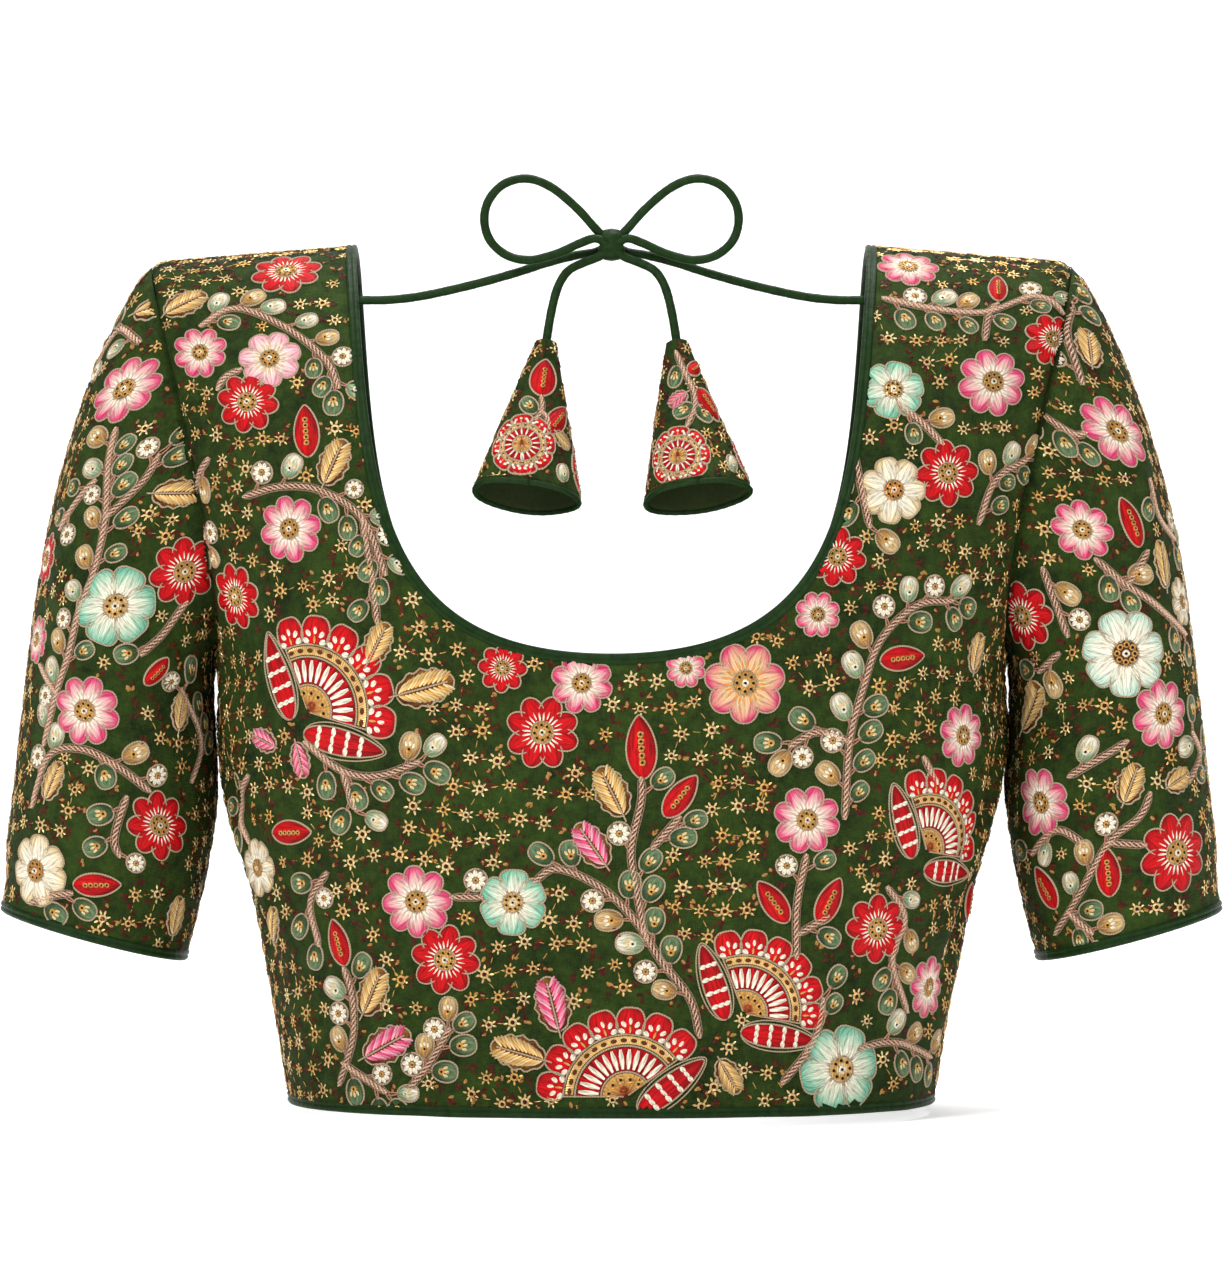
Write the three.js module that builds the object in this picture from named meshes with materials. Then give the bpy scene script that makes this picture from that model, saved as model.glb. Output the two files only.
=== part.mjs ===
// A short back-tied choli blouse, filled out as worn and hollow, in millimetres, +Z up.
// The back faces -Y, the front +Y, and the wearer's right is +X. The origin is midway between
// the tops of the two shoulders, which carry the garment.
import * as THREE from 'three';

// driving dimensions
const wall = 1.5;
const seamGap = 0.6;
const bindingWidth = 4.6;
const bindingDepth = 3.2;
const bindingGap = 0.4;
const sectionPower = 2.4;
const neckHalfWidth = 107.6;
const backNeckDrop = 172.3;
const frontNeckDrop = 174;
const shoulderHalfWidth = 194.6;
const shoulderFall = 7;
const shoulderRounding = 150;
const armholeDrop = 172;
const hemDrop = 361.6;
const bustFullness = 11;
const sideSeamHalf = 0.25;
const frontOpening = 0.4;
const cordDiameter = 3.6;

// half width and depths of the body at each drop below the shoulder line
const bodySections = [
  { name: 'shoulder', drop: 0, halfWidth: 216, back: 96, front: 92 },
  { name: 'collar', drop: 35, halfWidth: 207, back: 99, front: 98 },
  { name: 'yoke', drop: 78, halfWidth: 197, back: 102, front: 105 },
  { name: 'blade', drop: 124, halfWidth: 184, back: 104, front: 113 },
  { name: 'armpit', drop: 172, halfWidth: 167.6, back: 104, front: 121 },
  { name: 'bust', drop: 205, halfWidth: 166.6, back: 102, front: 124 },
  { name: 'lower bust', drop: 240, halfWidth: 162, back: 99, front: 118 },
  { name: 'ribs', drop: 275, halfWidth: 151.6, back: 95, front: 106 },
  { name: 'waist', drop: 316, halfWidth: 143.6, back: 91, front: 100 },
  { name: 'hem', drop: 361.6, halfWidth: 136, back: 88, front: 98 },
];

// where the fullness of each bust lies at the front, and how far it spreads
const mound = { across: 76, spread: 46, drop: 212, reach: 52 };

// rings of the right sleeve: where its outer and its inner side lie, and its depth front to back
const sleeveRings = [
  { name: 'biceps', outX: 247.2, outZ: -180, inX: 168.7, inZ: -191, depth: 108 },
  { name: 'arm', outX: 251.6, outZ: -219, inX: 167.2, inZ: -231, depth: 103 },
  { name: 'above elbow', outX: 255.2, outZ: -252, inX: 171.6, inZ: -265, depth: 95 },
  { name: 'cuff', outX: 257.7, outZ: -281.2, inX: 180.6, inZ: -302.4, depth: 86 },
];

// directions in which the sleeve leaves the armhole over, beside and under the arm, and how far the
// curves pull, as a share of the distance to the first ring
const capLeave = { over: [0.53, 0, -0.85], beside: [0.85, -0.1, -0.55], under: [0.02, 0, -1], pull: 0.36 };

// control points of the curved edges: distance from the middle and drop below the shoulder line
const backNeckControls = [
  { x: neckHalfWidth, drop: 0 },
  { x: 95.6, drop: 94 },
  { x: 104.4, drop: backNeckDrop },
  { x: 0, drop: backNeckDrop },
];
const frontNeckControls = [
  { x: neckHalfWidth, drop: 0 },
  { x: 106.2, drop: 115 },
  { x: 101.5, drop: frontNeckDrop },
  { x: 0, drop: frontNeckDrop },
];
const armholeControls = [
  { x: shoulderHalfWidth, drop: 0 },
  { x: 187, drop: 56 },
  { x: 163, drop: 119 },
  { x: 167.6, drop: armholeDrop },
];

// grid sizes
const columns = 9;
const bodyRows = 8;
const yokeRows = 14;
const sleeveSides = 2 * yokeRows;
const capRows = 7;
const tubeRows = 6;
const hemSteps = 40;

const green = 0x2b3f1a;
const satin = 0x20381f;
const { lerp, clamp } = THREE.MathUtils;
const vec = (x, y, z) => new THREE.Vector3(x, y, z);

const blouse = new THREE.Group();

function add(name, geometry, color = green, roughness = 0.8, metalness = 0) {
  const material = new THREE.MeshStandardMaterial({ color, roughness, metalness });
  const mesh = new THREE.Mesh(geometry, material);
  mesh.name = name;
  blouse.add(mesh);
  return mesh;
}

// One column of a table at any drop: a cubic through the rows, with slopes from the neighbours.
function column(table, name, at, by = 'drop') {
  const last = table.length - 1;
  let i = 0;
  while (i < last - 1 && at > table[i + 1][by]) i += 1;
  const slope = (k) => {
    const a = table[Math.max(k - 1, 0)];
    const b = table[Math.min(k + 1, last)];
    return (b[name] - a[name]) / (b[by] - a[by]);
  };
  const span = table[i + 1][by] - table[i][by];
  const t = (at - table[i][by]) / span;
  const rise = table[i + 1][name] - table[i][name];
  const start = slope(i) * span;
  const end = slope(i + 1) * span;
  return table[i][name] + t * (start + t * (3 * rise - 2 * start - end + t * (start + end - 2 * rise)));
}

function bezier(controls, t, name) {
  const [a, b, c, d] = controls.map((control) => control[name]);
  const s = 1 - t;
  return s * s * s * a + 3 * s * s * t * b + 3 * s * t * t * c + t * t * t * d;
}

// The body's surface. side is -1 at the back and 1 at the front, turn is the angle round the body
// from the middle line (90 degrees at the side seam), drop the depth below the shoulder line.
function bodyPoint(side, turn, drop) {
  const power = 2 / sectionPower;
  const half = column(bodySections, 'halfWidth', drop);
  const depth = column(bodySections, side < 0 ? 'back' : 'front', drop);
  const toShoulder = Math.min(drop / shoulderRounding, 1);
  const rounding = Math.sqrt(1 - (1 - toShoulder) ** 2);
  const across = half * Math.sign(turn) * Math.abs(Math.sin(turn)) ** power;
  const out = Math.max(Math.cos(turn), 0) ** power;
  const aside = (Math.abs(across) - mound.across) / mound.spread;
  const below = (drop - mound.drop) / mound.reach;
  const fullness = side > 0 ? bustFullness * Math.exp(-(aside ** 2) - below ** 2) * out : 0;
  const along = (Math.abs(across) - neckHalfWidth) / (shoulderHalfWidth - neckHalfWidth);
  const fall = shoulderFall * clamp(along, 0, 1.2) * (1 - Math.min(drop / armholeDrop, 1)) ** 2;
  return vec(across, side * (sideSeamHalf + depth * rounding * out + fullness), -drop - fall);
}

// the angle round the body at which it reaches a distance from the middle
function turnAt(x, drop) {
  const ratio = clamp(x / column(bodySections, 'halfWidth', drop), 0, 1);
  return Math.asin(ratio ** (sectionPower / 2));
}

function bodyNormal(side, turn, drop) {
  const step = 0.004;
  const high = Math.max(drop - 0.4, 0);
  const round = bodyPoint(side, turn + step, drop).sub(bodyPoint(side, turn - step, drop));
  const down = bodyPoint(side, turn, drop + 0.4).sub(bodyPoint(side, turn, high));
  return down.cross(round).multiplyScalar(-side).normalize();
}

// A neckline point, inset mm into the cloth from the finished edge, as distance and drop.
function neckEdge(side, t, inset) {
  const controls = side < 0 ? backNeckControls : frontNeckControls;
  const at = (k) => [bezier(controls, k, 'x'), bezier(controls, k, 'drop')];
  const [x, drop] = at(t);
  const before = at(Math.max(t - 0.001, 0));
  const after = at(Math.min(t + 0.001, 1));
  const dx = after[0] - before[0];
  const dd = after[1] - before[1];
  const length = Math.hypot(dx, dd);
  const top = t < 1e-6;
  return { x: Math.max(x + (inset * dd) / length, 0), drop: top ? 0 : drop - (inset * dx) / length };
}

// the curve parameter at which an edge reaches a drop, found by halving
function parameterAt(edge, drop) {
  let low = 0;
  let high = 1;
  for (let i = 0; i < 40; i += 1) {
    const middle = (low + high) / 2;
    if (edge(middle).drop < drop) low = middle;
    else high = middle;
  }
  return (low + high) / 2;
}

const armhole = (t) => ({ x: bezier(armholeControls, t, 'x'), drop: bezier(armholeControls, t, 'drop') });

// yoke rows crowd together at the bottom of the neck and at the shoulder, where the edges turn
const rowShare = (j) => (1 - Math.cos((Math.PI * j) / yokeRows)) / 2;

// A closed solid from a sheet of points: the outer face, the inner face set in by the wall, and a
// rim along every edge that only one face uses. Points at one place are joined.
function solidFromSheets(sheets, thickness = wall) {
  const outer = [];
  const inner = [];
  const places = new Map();
  const faces = [];
  for (const { points, inward, quads, flipped } of sheets) {
    const index = points.map((point, i) => {
      const key = point.toArray().map((value) => Math.round(value * 1000)).join();
      if (!places.has(key)) {
        places.set(key, outer.length);
        outer.push(point);
        inner.push(point.clone().addScaledVector(inward[i], thickness));
      }
      return places.get(key);
    });
    for (const [a, b, c, d] of quads) {
      for (const face of [[a, b, c], [a, c, d]]) {
        const joined = face.map((k) => index[k]);
        if (new Set(joined).size < 3) continue;
        faces.push(flipped ? joined.reverse() : joined);
      }
    }
  }
  const count = outer.length;
  const triangles = [];
  const edges = new Map();
  for (const [a, b, c] of faces) {
    triangles.push(a, b, c, a + count, c + count, b + count);
    for (const [from, to] of [[a, b], [b, c], [c, a]]) {
      if (edges.has(`${to},${from}`)) edges.delete(`${to},${from}`);
      else edges.set(`${from},${to}`, [from, to]);
    }
  }
  for (const [from, to] of edges.values()) {
    triangles.push(to, from, from + count, to, from + count, to + count);
  }
  const geometry = new THREE.BufferGeometry();
  const flat = [...outer, ...inner].flatMap((point) => point.toArray());
  geometry.setAttribute('position', new THREE.Float32BufferAttribute(flat, 3));
  geometry.setIndex(triangles);
  geometry.computeVertexNormals();
  return geometry;
}

// Half of a body panel, on the +X side: rows run from the middle line or the neck to the side seam
// or the armhole. The middle line stands off the plane of symmetry by open mm.
function halfPanel(side, open = 0) {
  const inset = bindingWidth + bindingGap;
  const neck = (t) => neckEdge(side, t, inset);
  const neckBottom = neck(1).drop;
  const rows = [];
  for (let i = 0; i < bodyRows; i += 1) {
    const share = i / bodyRows;
    const left = lerp(hemDrop - inset, neckBottom, share);
    const right = lerp(hemDrop - inset, armholeDrop, share);
    rows.push({ left, right });
  }
  for (let j = 0; j <= yokeRows; j += 1) {
    const share = rowShare(j);
    rows.push({ left: neckBottom * (1 - share), right: armholeDrop * (1 - share), yoke: true });
  }
  const points = [];
  const inward = [];
  for (const row of rows) {
    let from = turnAt(open, row.left);
    let to = Math.PI / 2;
    if (row.yoke) {
      from = Math.max(from, turnAt(neck(parameterAt(neck, row.left)).x, row.left));
      const edge = armhole(parameterAt(armhole, row.right)).x;
      to = row.right === armholeDrop ? to : turnAt(edge, row.right);
    }
    for (let i = 0; i <= columns; i += 1) {
      const share = i / columns;
      const turn = lerp(from, to, share);
      const drop = lerp(row.left, row.right, share);
      const normal = bodyNormal(side, turn, Math.max(drop, 0.02));
      if (share === 1 && (!row.yoke || row.right === armholeDrop)) normal.y = 0;
      if (drop < 1e-6) normal.y = 0;
      if (share === 0 && from <= turnAt(open, row.left)) normal.x = 0;
      points.push(bodyPoint(side, turn, Math.max(drop, 0)));
      inward.push(normal.normalize().negate());
    }
  }
  const quads = [];
  for (let j = 0; j < rows.length - 1; j += 1) {
    for (let i = 0; i < columns; i += 1) {
      const a = j * (columns + 1) + i;
      quads.push([a, a + 1, a + columns + 2, a + columns + 1]);
    }
  }
  return { points, inward, quads, flipped: side > 0 };
}

function mirrored({ points, inward, quads, flipped }) {
  const flip = (v) => vec(-v.x, v.y, v.z);
  return { points: points.map(flip), inward: inward.map(flip), quads, flipped: !flipped };
}

// A strip carried along stations, each a point with the direction into the cloth and the outward
// normal: a flat six-sided section, closed on itself or capped at both ends.
function strip(stations, closed, depth = bindingDepth) {
  const rise = (depth - wall) / 2;
  const edgeSlope = 1.2;
  const stitchSlope = 0.9;
  const section = [
    [0, -wall / 2],
    [edgeSlope, rise],
    [bindingWidth - stitchSlope, rise],
    [bindingWidth, -wall / 2],
    [bindingWidth - stitchSlope, -wall - rise],
    [edgeSlope, -wall - rise],
  ];
  const sides = section.length;
  const positions = [];
  for (const { point, into, normal } of stations) {
    for (const [along, up] of section) {
      positions.push(...point.clone().addScaledVector(into, along).addScaledVector(normal, up).toArray());
    }
  }
  const triangles = [];
  const count = stations.length;
  for (let j = 0; j < (closed ? count : count - 1); j += 1) {
    for (let i = 0; i < sides; i += 1) {
      const a = j * sides + i;
      const b = j * sides + ((i + 1) % sides);
      const c = ((j + 1) % count) * sides + ((i + 1) % sides);
      const d = ((j + 1) % count) * sides + i;
      triangles.push(a, b, c, a, c, d);
    }
  }
  if (!closed) {
    const end = (count - 1) * sides;
    for (let i = 1; i < sides - 1; i += 1) {
      triangles.push(0, i + 1, i, end, end + i, end + i + 1);
    }
  }
  const geometry = new THREE.BufferGeometry();
  geometry.setAttribute('position', new THREE.Float32BufferAttribute(positions, 3));
  geometry.setIndex(triangles);
  if (volume(geometry) < 0) geometry.setIndex(triangles.reverse());
  geometry.computeVertexNormals();
  return geometry;
}

function volume(geometry) {
  const place = geometry.getAttribute('position');
  const index = geometry.getIndex().array;
  const corner = (i) => new THREE.Vector3().fromBufferAttribute(place, index[i]);
  let sum = 0;
  for (let i = 0; i < index.length; i += 3) sum += corner(i).dot(corner(i + 1).cross(corner(i + 2)));
  return sum / 6;
}

// A station of a binding on the body: the finished edge, the way into the cloth, the normal.
function bodyStation(side, sign, edge, inner) {
  const turn = turnAt(edge.x, edge.drop);
  const point = bodyPoint(side, turn, edge.drop);
  const normal = bodyNormal(side, turn, Math.max(edge.drop, 0.02));
  if (edge.drop < 1e-6) normal.y = 0;
  const into = bodyPoint(side, turnAt(inner.x, inner.drop), inner.drop).sub(point);
  into.addScaledVector(normal.normalize(), -into.dot(normal)).normalize();
  for (const v of [point, normal, into]) v.x *= sign;
  return { point, into, normal };
}

// The neck binding runs from the centre front over one shoulder, round the back and over the other,
// with its stations at the ends of the panels' rows.
function neckStations() {
  const quarter = (side, sign) => {
    const neck = (t) => neckEdge(side, t, bindingWidth + bindingGap);
    const bottom = neck(1).drop;
    const stations = [];
    for (let j = yokeRows; j >= 0; j -= 1) {
      const t = j === 0 ? 1 : parameterAt(neck, bottom * (1 - rowShare(j)));
      stations.push(bodyStation(side, sign, neckEdge(side, t, 0), neckEdge(side, t, bindingWidth)));
    }
    return stations;
  };
  const right = [...quarter(1, 1).reverse(), ...quarter(-1, 1).slice(1)];
  const left = [...quarter(-1, -1).reverse().slice(1), ...quarter(1, -1).slice(1)];
  right[0].point.x = frontOpening;
  left[left.length - 1].point.x = -frontOpening;
  right[yokeRows].point.y = 0;
  left[yokeRows - 1].point.y = 0;
  return [...right, ...left];
}

function hemStations() {
  const stations = [];
  const first = turnAt(frontOpening, hemDrop);
  const edge = (side, turn, sign) => {
    const point = bodyPoint(side, turn, hemDrop);
    const normal = bodyNormal(side, turn, hemDrop - 1);
    normal.z = 0;
    if (Math.abs(turn - Math.PI / 2) < 1e-6) normal.y = 0;
    if (Math.abs(turn - Math.PI / 2) < 1e-6) point.y = 0;
    if (turn < 0.05) normal.x = 0;
    normal.normalize();
    for (const v of [point, normal]) v.x *= sign;
    return { point, into: vec(0, 0, 1), normal };
  };
  const steps = hemSteps / 2;
  const turns = Array.from({ length: steps + 1 }, (_, i) => lerp(first, Math.PI / 2, i / steps));
  for (const turn of turns) stations.push(edge(1, turn, 1));
  for (const turn of turns.slice(0, -1).reverse()) stations.push(edge(-1, turn, 1));
  for (const turn of turns) stations.push(edge(-1, turn, -1));
  for (const turn of turns.slice(0, -1).reverse()) stations.push(edge(1, turn, -1));
  return stations;
}

// The armhole as a closed ring of the panels' own edge points, from the shoulder down the back to
// the armpit and up the front, each with the body's normal there and the way on past the edge.
function armholeRing() {
  const ring = [];
  for (const side of [-1, 1]) {
    for (let j = 0; j < yokeRows; j += 1) {
      const row = side < 0 ? yokeRows - j : j;
      const drop = armholeDrop * (1 - rowShare(row));
      const turn = row === 0 ? Math.PI / 2 : turnAt(armhole(parameterAt(armhole, drop)).x, drop);
      const normal = bodyNormal(side, turn, Math.max(drop, 0.02));
      const point = bodyPoint(side, turn, drop);
      if (row === yokeRows || row === 0) {
        point.y = 0;
        normal.y = 0;
      }
      ring.push({ point, normal: normal.normalize() });
    }
  }
  const count = ring.length;
  const lengths = ring.map((station, i) => station.point.distanceTo(ring[(i + 1) % count].point));
  const sum = (list) => list.reduce((total, value) => total + value, 0);
  const backLength = sum(lengths.slice(0, yokeRows));
  const frontLength = sum(lengths.slice(yokeRows));
  ring.forEach((station, i) => {
    const gone = sum(lengths.slice(0, i));
    const angle = i < yokeRows ? gone / backLength : 1 + (gone - backLength) / frontLength;
    const next = ring[(i + 1) % count].point;
    const along = next.clone().sub(ring[(i + count - 1) % count].point).normalize();
    station.angle = Math.PI * angle;
    station.past = station.normal.clone().cross(along).normalize();
  });
  return ring;
}

// a point of a sleeve ring: angle 0 at its outer side, 90 degrees at the back
function ringPoint(level, angle) {
  const read = (name) => column(sleeveRings.map((ring, at) => ({ ...ring, at })), name, level, 'at');
  const outer = vec(read('outX'), 0, read('outZ'));
  const inner = vec(read('inX'), 0, read('inZ'));
  const middle = outer.clone().add(inner).multiplyScalar(0.5);
  const point = middle.clone().addScaledVector(outer.sub(inner), Math.cos(angle) / 2);
  point.y -= (Math.sin(angle) * read('depth')) / 2;
  return point;
}

// The right sleeve: curves from the armhole into the first ring, then on through the rings.
function sleevePoint(start, share) {
  const capShare = capRows / (capRows + tubeRows);
  const lastRing = sleeveRings.length - 1;
  const nearEnd = 0.15;
  const before = ringPoint(lastRing - nearEnd, start.angle);
  const lastPart = ringPoint(lastRing, start.angle).distanceTo(before) / nearEnd;
  const end = lastRing - (bindingWidth + bindingGap) / lastPart;
  if (share > capShare) {
    return ringPoint((end * (share - capShare)) / (1 - capShare), start.angle);
  }
  const t = share / capShare;
  const over = Math.max(Math.cos(start.angle), 0);
  const under = Math.max(-Math.cos(start.angle), 0);
  const beside = Math.abs(Math.sin(start.angle));
  const toBack = Math.sign(Math.sin(start.angle));
  const leave = vec(...capLeave.over).multiplyScalar(over * over);
  leave.add(vec(...capLeave.beside).multiply(vec(1, toBack, 1)).multiplyScalar(beside * beside));
  leave.add(vec(...capLeave.under).multiplyScalar(under * under)).normalize();
  const shift = start.past.clone().add(start.normal).normalize().multiplyScalar(seamGap);
  const from = start.point.clone().add(shift);
  const to = ringPoint(0, start.angle);
  const arrive = ringPoint(0.1, start.angle).sub(to).normalize();
  const reach = from.distanceTo(to) * capLeave.pull;
  const s = 1 - t;
  return from.clone().multiplyScalar(s * s * s)
    .addScaledVector(from.clone().addScaledVector(leave, reach), 3 * s * s * t)
    .addScaledVector(to.clone().addScaledVector(arrive, -reach), 3 * s * t * t)
    .addScaledVector(to, t * t * t);
}

function sleeveSheet() {
  const ring = armholeRing();
  const rows = capRows + tubeRows;
  const points = [];
  for (let j = 0; j <= rows; j += 1) {
    for (const start of ring) points.push(sleevePoint(start, j / rows));
  }
  const quads = [];
  for (let j = 0; j < rows; j += 1) {
    for (let i = 0; i < sleeveSides; i += 1) {
      const a = j * sleeveSides + i;
      const b = j * sleeveSides + ((i + 1) % sleeveSides);
      quads.push([a, a + sleeveSides, b + sleeveSides, b]);
    }
  }
  const inward = points.map((point, k) => {
    const j = Math.floor(k / sleeveSides);
    const i = k % sleeveSides;
    const at = (row, side) => points[row * sleeveSides + ((side + sleeveSides) % sleeveSides)];
    const down = at(Math.min(j + 1, rows), i).clone().sub(at(Math.max(j - 1, 0), i));
    const round = at(j, i + 1).clone().sub(at(j, i - 1));
    const own = down.clone().cross(round).normalize();
    if (j > 0) return own;
    const over = clamp((Math.cos(ring[i].angle) + 0.45) * 2.5, 0, 1);
    return own.multiplyScalar(1 - over).addScaledVector(ring[i].normal, -over).normalize();
  });
  return { points, inward, quads, flipped: true };
}

function cuffStations() {
  const last = sleeveRings.length - 1;
  return armholeRing().map(({ angle }) => {
    const point = ringPoint(last, angle);
    const into = ringPoint(last - 0.05, angle).sub(point).normalize();
    const round = ringPoint(last, angle + 0.01).sub(ringPoint(last, angle - 0.01));
    const normal = round.cross(into).normalize();
    const middle = ringPoint(last, 0).add(ringPoint(last, Math.PI)).multiplyScalar(0.5);
    if (normal.dot(point.clone().sub(middle)) < 0) normal.negate();
    return { point, into, normal };
  });
}

function mirroredGeometry(geometry) {
  const copy = geometry.clone().scale(-1, 1, 1);
  copy.setIndex(Array.from(copy.getIndex().array).reverse());
  copy.computeVertexNormals();
  return copy;
}

// cloth panels
const backHalf = halfPanel(-1);
add('back', solidFromSheets([backHalf, mirrored(backHalf)]));
const frontHalf = halfPanel(1, frontOpening);
add('front_right', solidFromSheets([frontHalf]));
add('front_left', solidFromSheets([mirrored(frontHalf)]));
const sleeve = solidFromSheets([sleeveSheet()]);
add('sleeve_right', sleeve);
add('sleeve_left', mirroredGeometry(sleeve));

// bias bindings
add('neck_binding', strip(neckStations(), false), satin, 0.5);
add('hem_binding', strip(hemStations(), false), satin, 0.5);
const cuff = strip(cuffStations(), true);
add('cuff_binding_right', cuff, satin, 0.5);
add('cuff_binding_left', mirroredGeometry(cuff), satin, 0.5);

// The centre front closes with hooks between the right front and a strip behind both fronts.
const hook = { count: 6, width: 6.5, depth: 1.1, wire: 1.5, aside: 5.4, behind: 0.9, above: 14, below: 16 };
const placket = { halfWidth: 11, wall: 1.2, setBack: wall + hook.depth + 1.8, rows: 8, above: 5, below: 3 };

function placketSheet() {
  const points = [];
  const inward = [];
  const quads = [];
  const across = 4;
  const top = frontNeckDrop + bindingWidth + placket.above;
  const bottom = hemDrop - bindingWidth - placket.below;
  for (let j = 0; j <= placket.rows; j += 1) {
    const drop = lerp(bottom, top, j / placket.rows);
    for (let i = 0; i <= across; i += 1) {
      const x = lerp(-placket.halfWidth, placket.halfWidth, i / across);
      const turn = Math.sign(x) * turnAt(Math.abs(x), drop);
      const normal = bodyNormal(1, turn, drop);
      points.push(bodyPoint(1, turn, drop).addScaledVector(normal, -placket.setBack));
      inward.push(normal.negate());
    }
  }
  for (let j = 0; j < placket.rows; j += 1) {
    for (let i = 0; i < across; i += 1) {
      const a = j * (across + 1) + i;
      quads.push([a, a + 1, a + across + 2, a + across + 1]);
    }
  }
  return { points, inward, quads, flipped: true };
}
add('hook_placket', solidFromSheets([placketSheet()], placket.wall));

// A hook is a flat ring of wire with a straight bill, lying between the front and the strip.
function hookGeometry() {
  const shape = new THREE.Shape();
  shape.absarc(0, 0, hook.width / 2, 0, 2 * Math.PI);
  const eye = new THREE.Path();
  eye.absarc(0, 0, hook.width / 2 - hook.wire, 0, 2 * Math.PI);
  shape.holes.push(eye);
  return new THREE.ExtrudeGeometry(shape, { depth: hook.depth, bevelEnabled: false, curveSegments: 5 });
}
for (let i = 0; i < hook.count; i += 1) {
  const drop = lerp(frontNeckDrop + hook.above, hemDrop - hook.below, i / (hook.count - 1));
  const turn = turnAt(hook.aside, drop);
  const normal = bodyNormal(1, turn, drop);
  const mesh = add(`hook_${i + 1}`, hookGeometry(), 0x3a3a38, 0.35, 0.9);
  mesh.position.copy(bodyPoint(1, turn, drop).addScaledVector(normal, -wall - hook.behind));
  mesh.quaternion.setFromUnitVectors(vec(0, 0, 1), normal.negate());
}

// Cord routes of the left half, from the neck to the knot, the loop, and the tail to its tassel.
const cordRoutes = {
  strap: [
    [-104.2, -51.6, -26.3], [-92, -53.5, -26.3], [-78, -55.5, -24.8], [-58, -58.5, -20.6],
    [-40, -60.5, -15.8], [-26, -61.5, -11.4], [-14, -62, -8.4], [-5.9, -62.2, -7],
  ],
  loop: [
    [-5.3, -64.6, 0.9], [-14, -65, 10.4], [-24.5, -66, 19], [-34.5, -67, 22.6], [-44, -67.5, 20.4],
    [-50.4, -67.8, 13.6], [-52.2, -68, 5.2], [-49.6, -68.2, -3.2], [-42.5, -68.4, -9.2],
    [-33, -68.4, -10.9], [-22, -68, -8.1], [-13, -67.4, -4], [-6.1, -67, -2],
  ],
  tail: [
    [-5.2, -66, -9.4], [-12, -67.6, -12.2], [-17.2, -69.4, -15], [-20.4, -71.2, -19], [-22.6, -73, -24.2],
    [-24.2, -75, -30.6], [-25.5, -76.8, -37.6], [-26.5, -78.4, -44.4],
  ],
};

function cordGeometry(points) {
  const curve = new THREE.CatmullRomCurve3(points);
  const section = new THREE.Shape();
  const sides = 8;
  for (let i = 0; i < sides; i += 1) {
    const angle = (2 * Math.PI * i) / sides;
    const x = (cordDiameter / 2) * Math.cos(angle);
    const y = (cordDiameter / 2) * Math.sin(angle);
    if (i === 0) section.moveTo(x, y);
    else section.lineTo(x, y);
  }
  const steps = Math.round(curve.getLength() / (2.4 * cordDiameter));
  const settings = { steps: Math.max(steps, 8), extrudePath: curve, bevelEnabled: false };
  return new THREE.ExtrudeGeometry(section, settings);
}
for (const [part, route] of Object.entries(cordRoutes)) {
  const left = route.map(([x, y, z]) => vec(x, y, z));
  const right = route.map(([x, y, z]) => vec(-x, y, z));
  add(`dori_${part}_left`, cordGeometry(left), satin, 0.4);
  add(`dori_${part}_right`, cordGeometry(right), satin, 0.4);
}
const knotSize = [5.6, 4.6, 7.2];
const knotPlace = [0, -64.6, -4.4];
const knot = add('dori_knot', new THREE.SphereGeometry(1, 12, 8).scale(...knotSize), satin, 0.4);
knot.position.set(...knotPlace);

// A latkan is a hollow cone of cloth with a bound mouth, hanging from the end of a tail.
const latkan = { length: 68, tip: 4.2, mouth: 22.4, lean: 15, spread: 7, top: 4 };
const rimSize = { height: 3, lap: 0.9, gap: 0.4 };

function latkanGeometry() {
  const end = latkan.length - rimSize.height - rimSize.gap;
  const widest = lerp(latkan.tip, latkan.mouth, end / latkan.length);
  const profile = [
    new THREE.Vector2(0, 0),
    new THREE.Vector2(latkan.tip, 0),
    new THREE.Vector2(widest, -end),
    new THREE.Vector2(widest - wall, -end),
    new THREE.Vector2(latkan.tip - wall * 0.6, -latkan.top),
    new THREE.Vector2(0, -latkan.top),
  ];
  return new THREE.LatheGeometry(profile.reverse(), 20);
}
function rimGeometry() {
  const r = latkan.mouth;
  const low = -latkan.length;
  const outside = r + rimSize.lap;
  const inside = r - wall - rimSize.lap;
  const profile = [
    new THREE.Vector2(outside, low),
    new THREE.Vector2(outside, low + rimSize.height),
    new THREE.Vector2(inside, low + rimSize.height),
    new THREE.Vector2(inside, low),
    new THREE.Vector2(outside, low),
  ];
  return new THREE.LatheGeometry(profile, 20);
}
const degrees = Math.PI / 180;
for (const [name, sign] of [['left', -1], ['right', 1]]) {
  const [x, y, z] = cordRoutes.tail[cordRoutes.tail.length - 1];
  const axis = vec(sign * Math.sin(latkan.spread * degrees), -Math.sin(latkan.lean * degrees), 0);
  axis.z = -Math.sqrt(1 - axis.lengthSq());
  const turn = new THREE.Quaternion().setFromUnitVectors(vec(0, -1, 0), axis);
  const place = vec(sign * Math.abs(x), y, z).addScaledVector(axis, 0.6);
  const parts = [['latkan', latkanGeometry(), green], ['latkan_rim', rimGeometry(), satin]];
  for (const [part, geometry, color] of parts) {
    const mesh = add(`${part}_${name}`, geometry, color, 0.7);
    mesh.quaternion.copy(turn);
    mesh.position.copy(place);
  }
}

export default blouse;
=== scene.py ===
# Back-tied choli blouse in olive cloth with thread and metal embroidery, satin piping and a satin dori.
# Shapes are worked out in millimetres and become metres when a mesh is made.
import math

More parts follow.
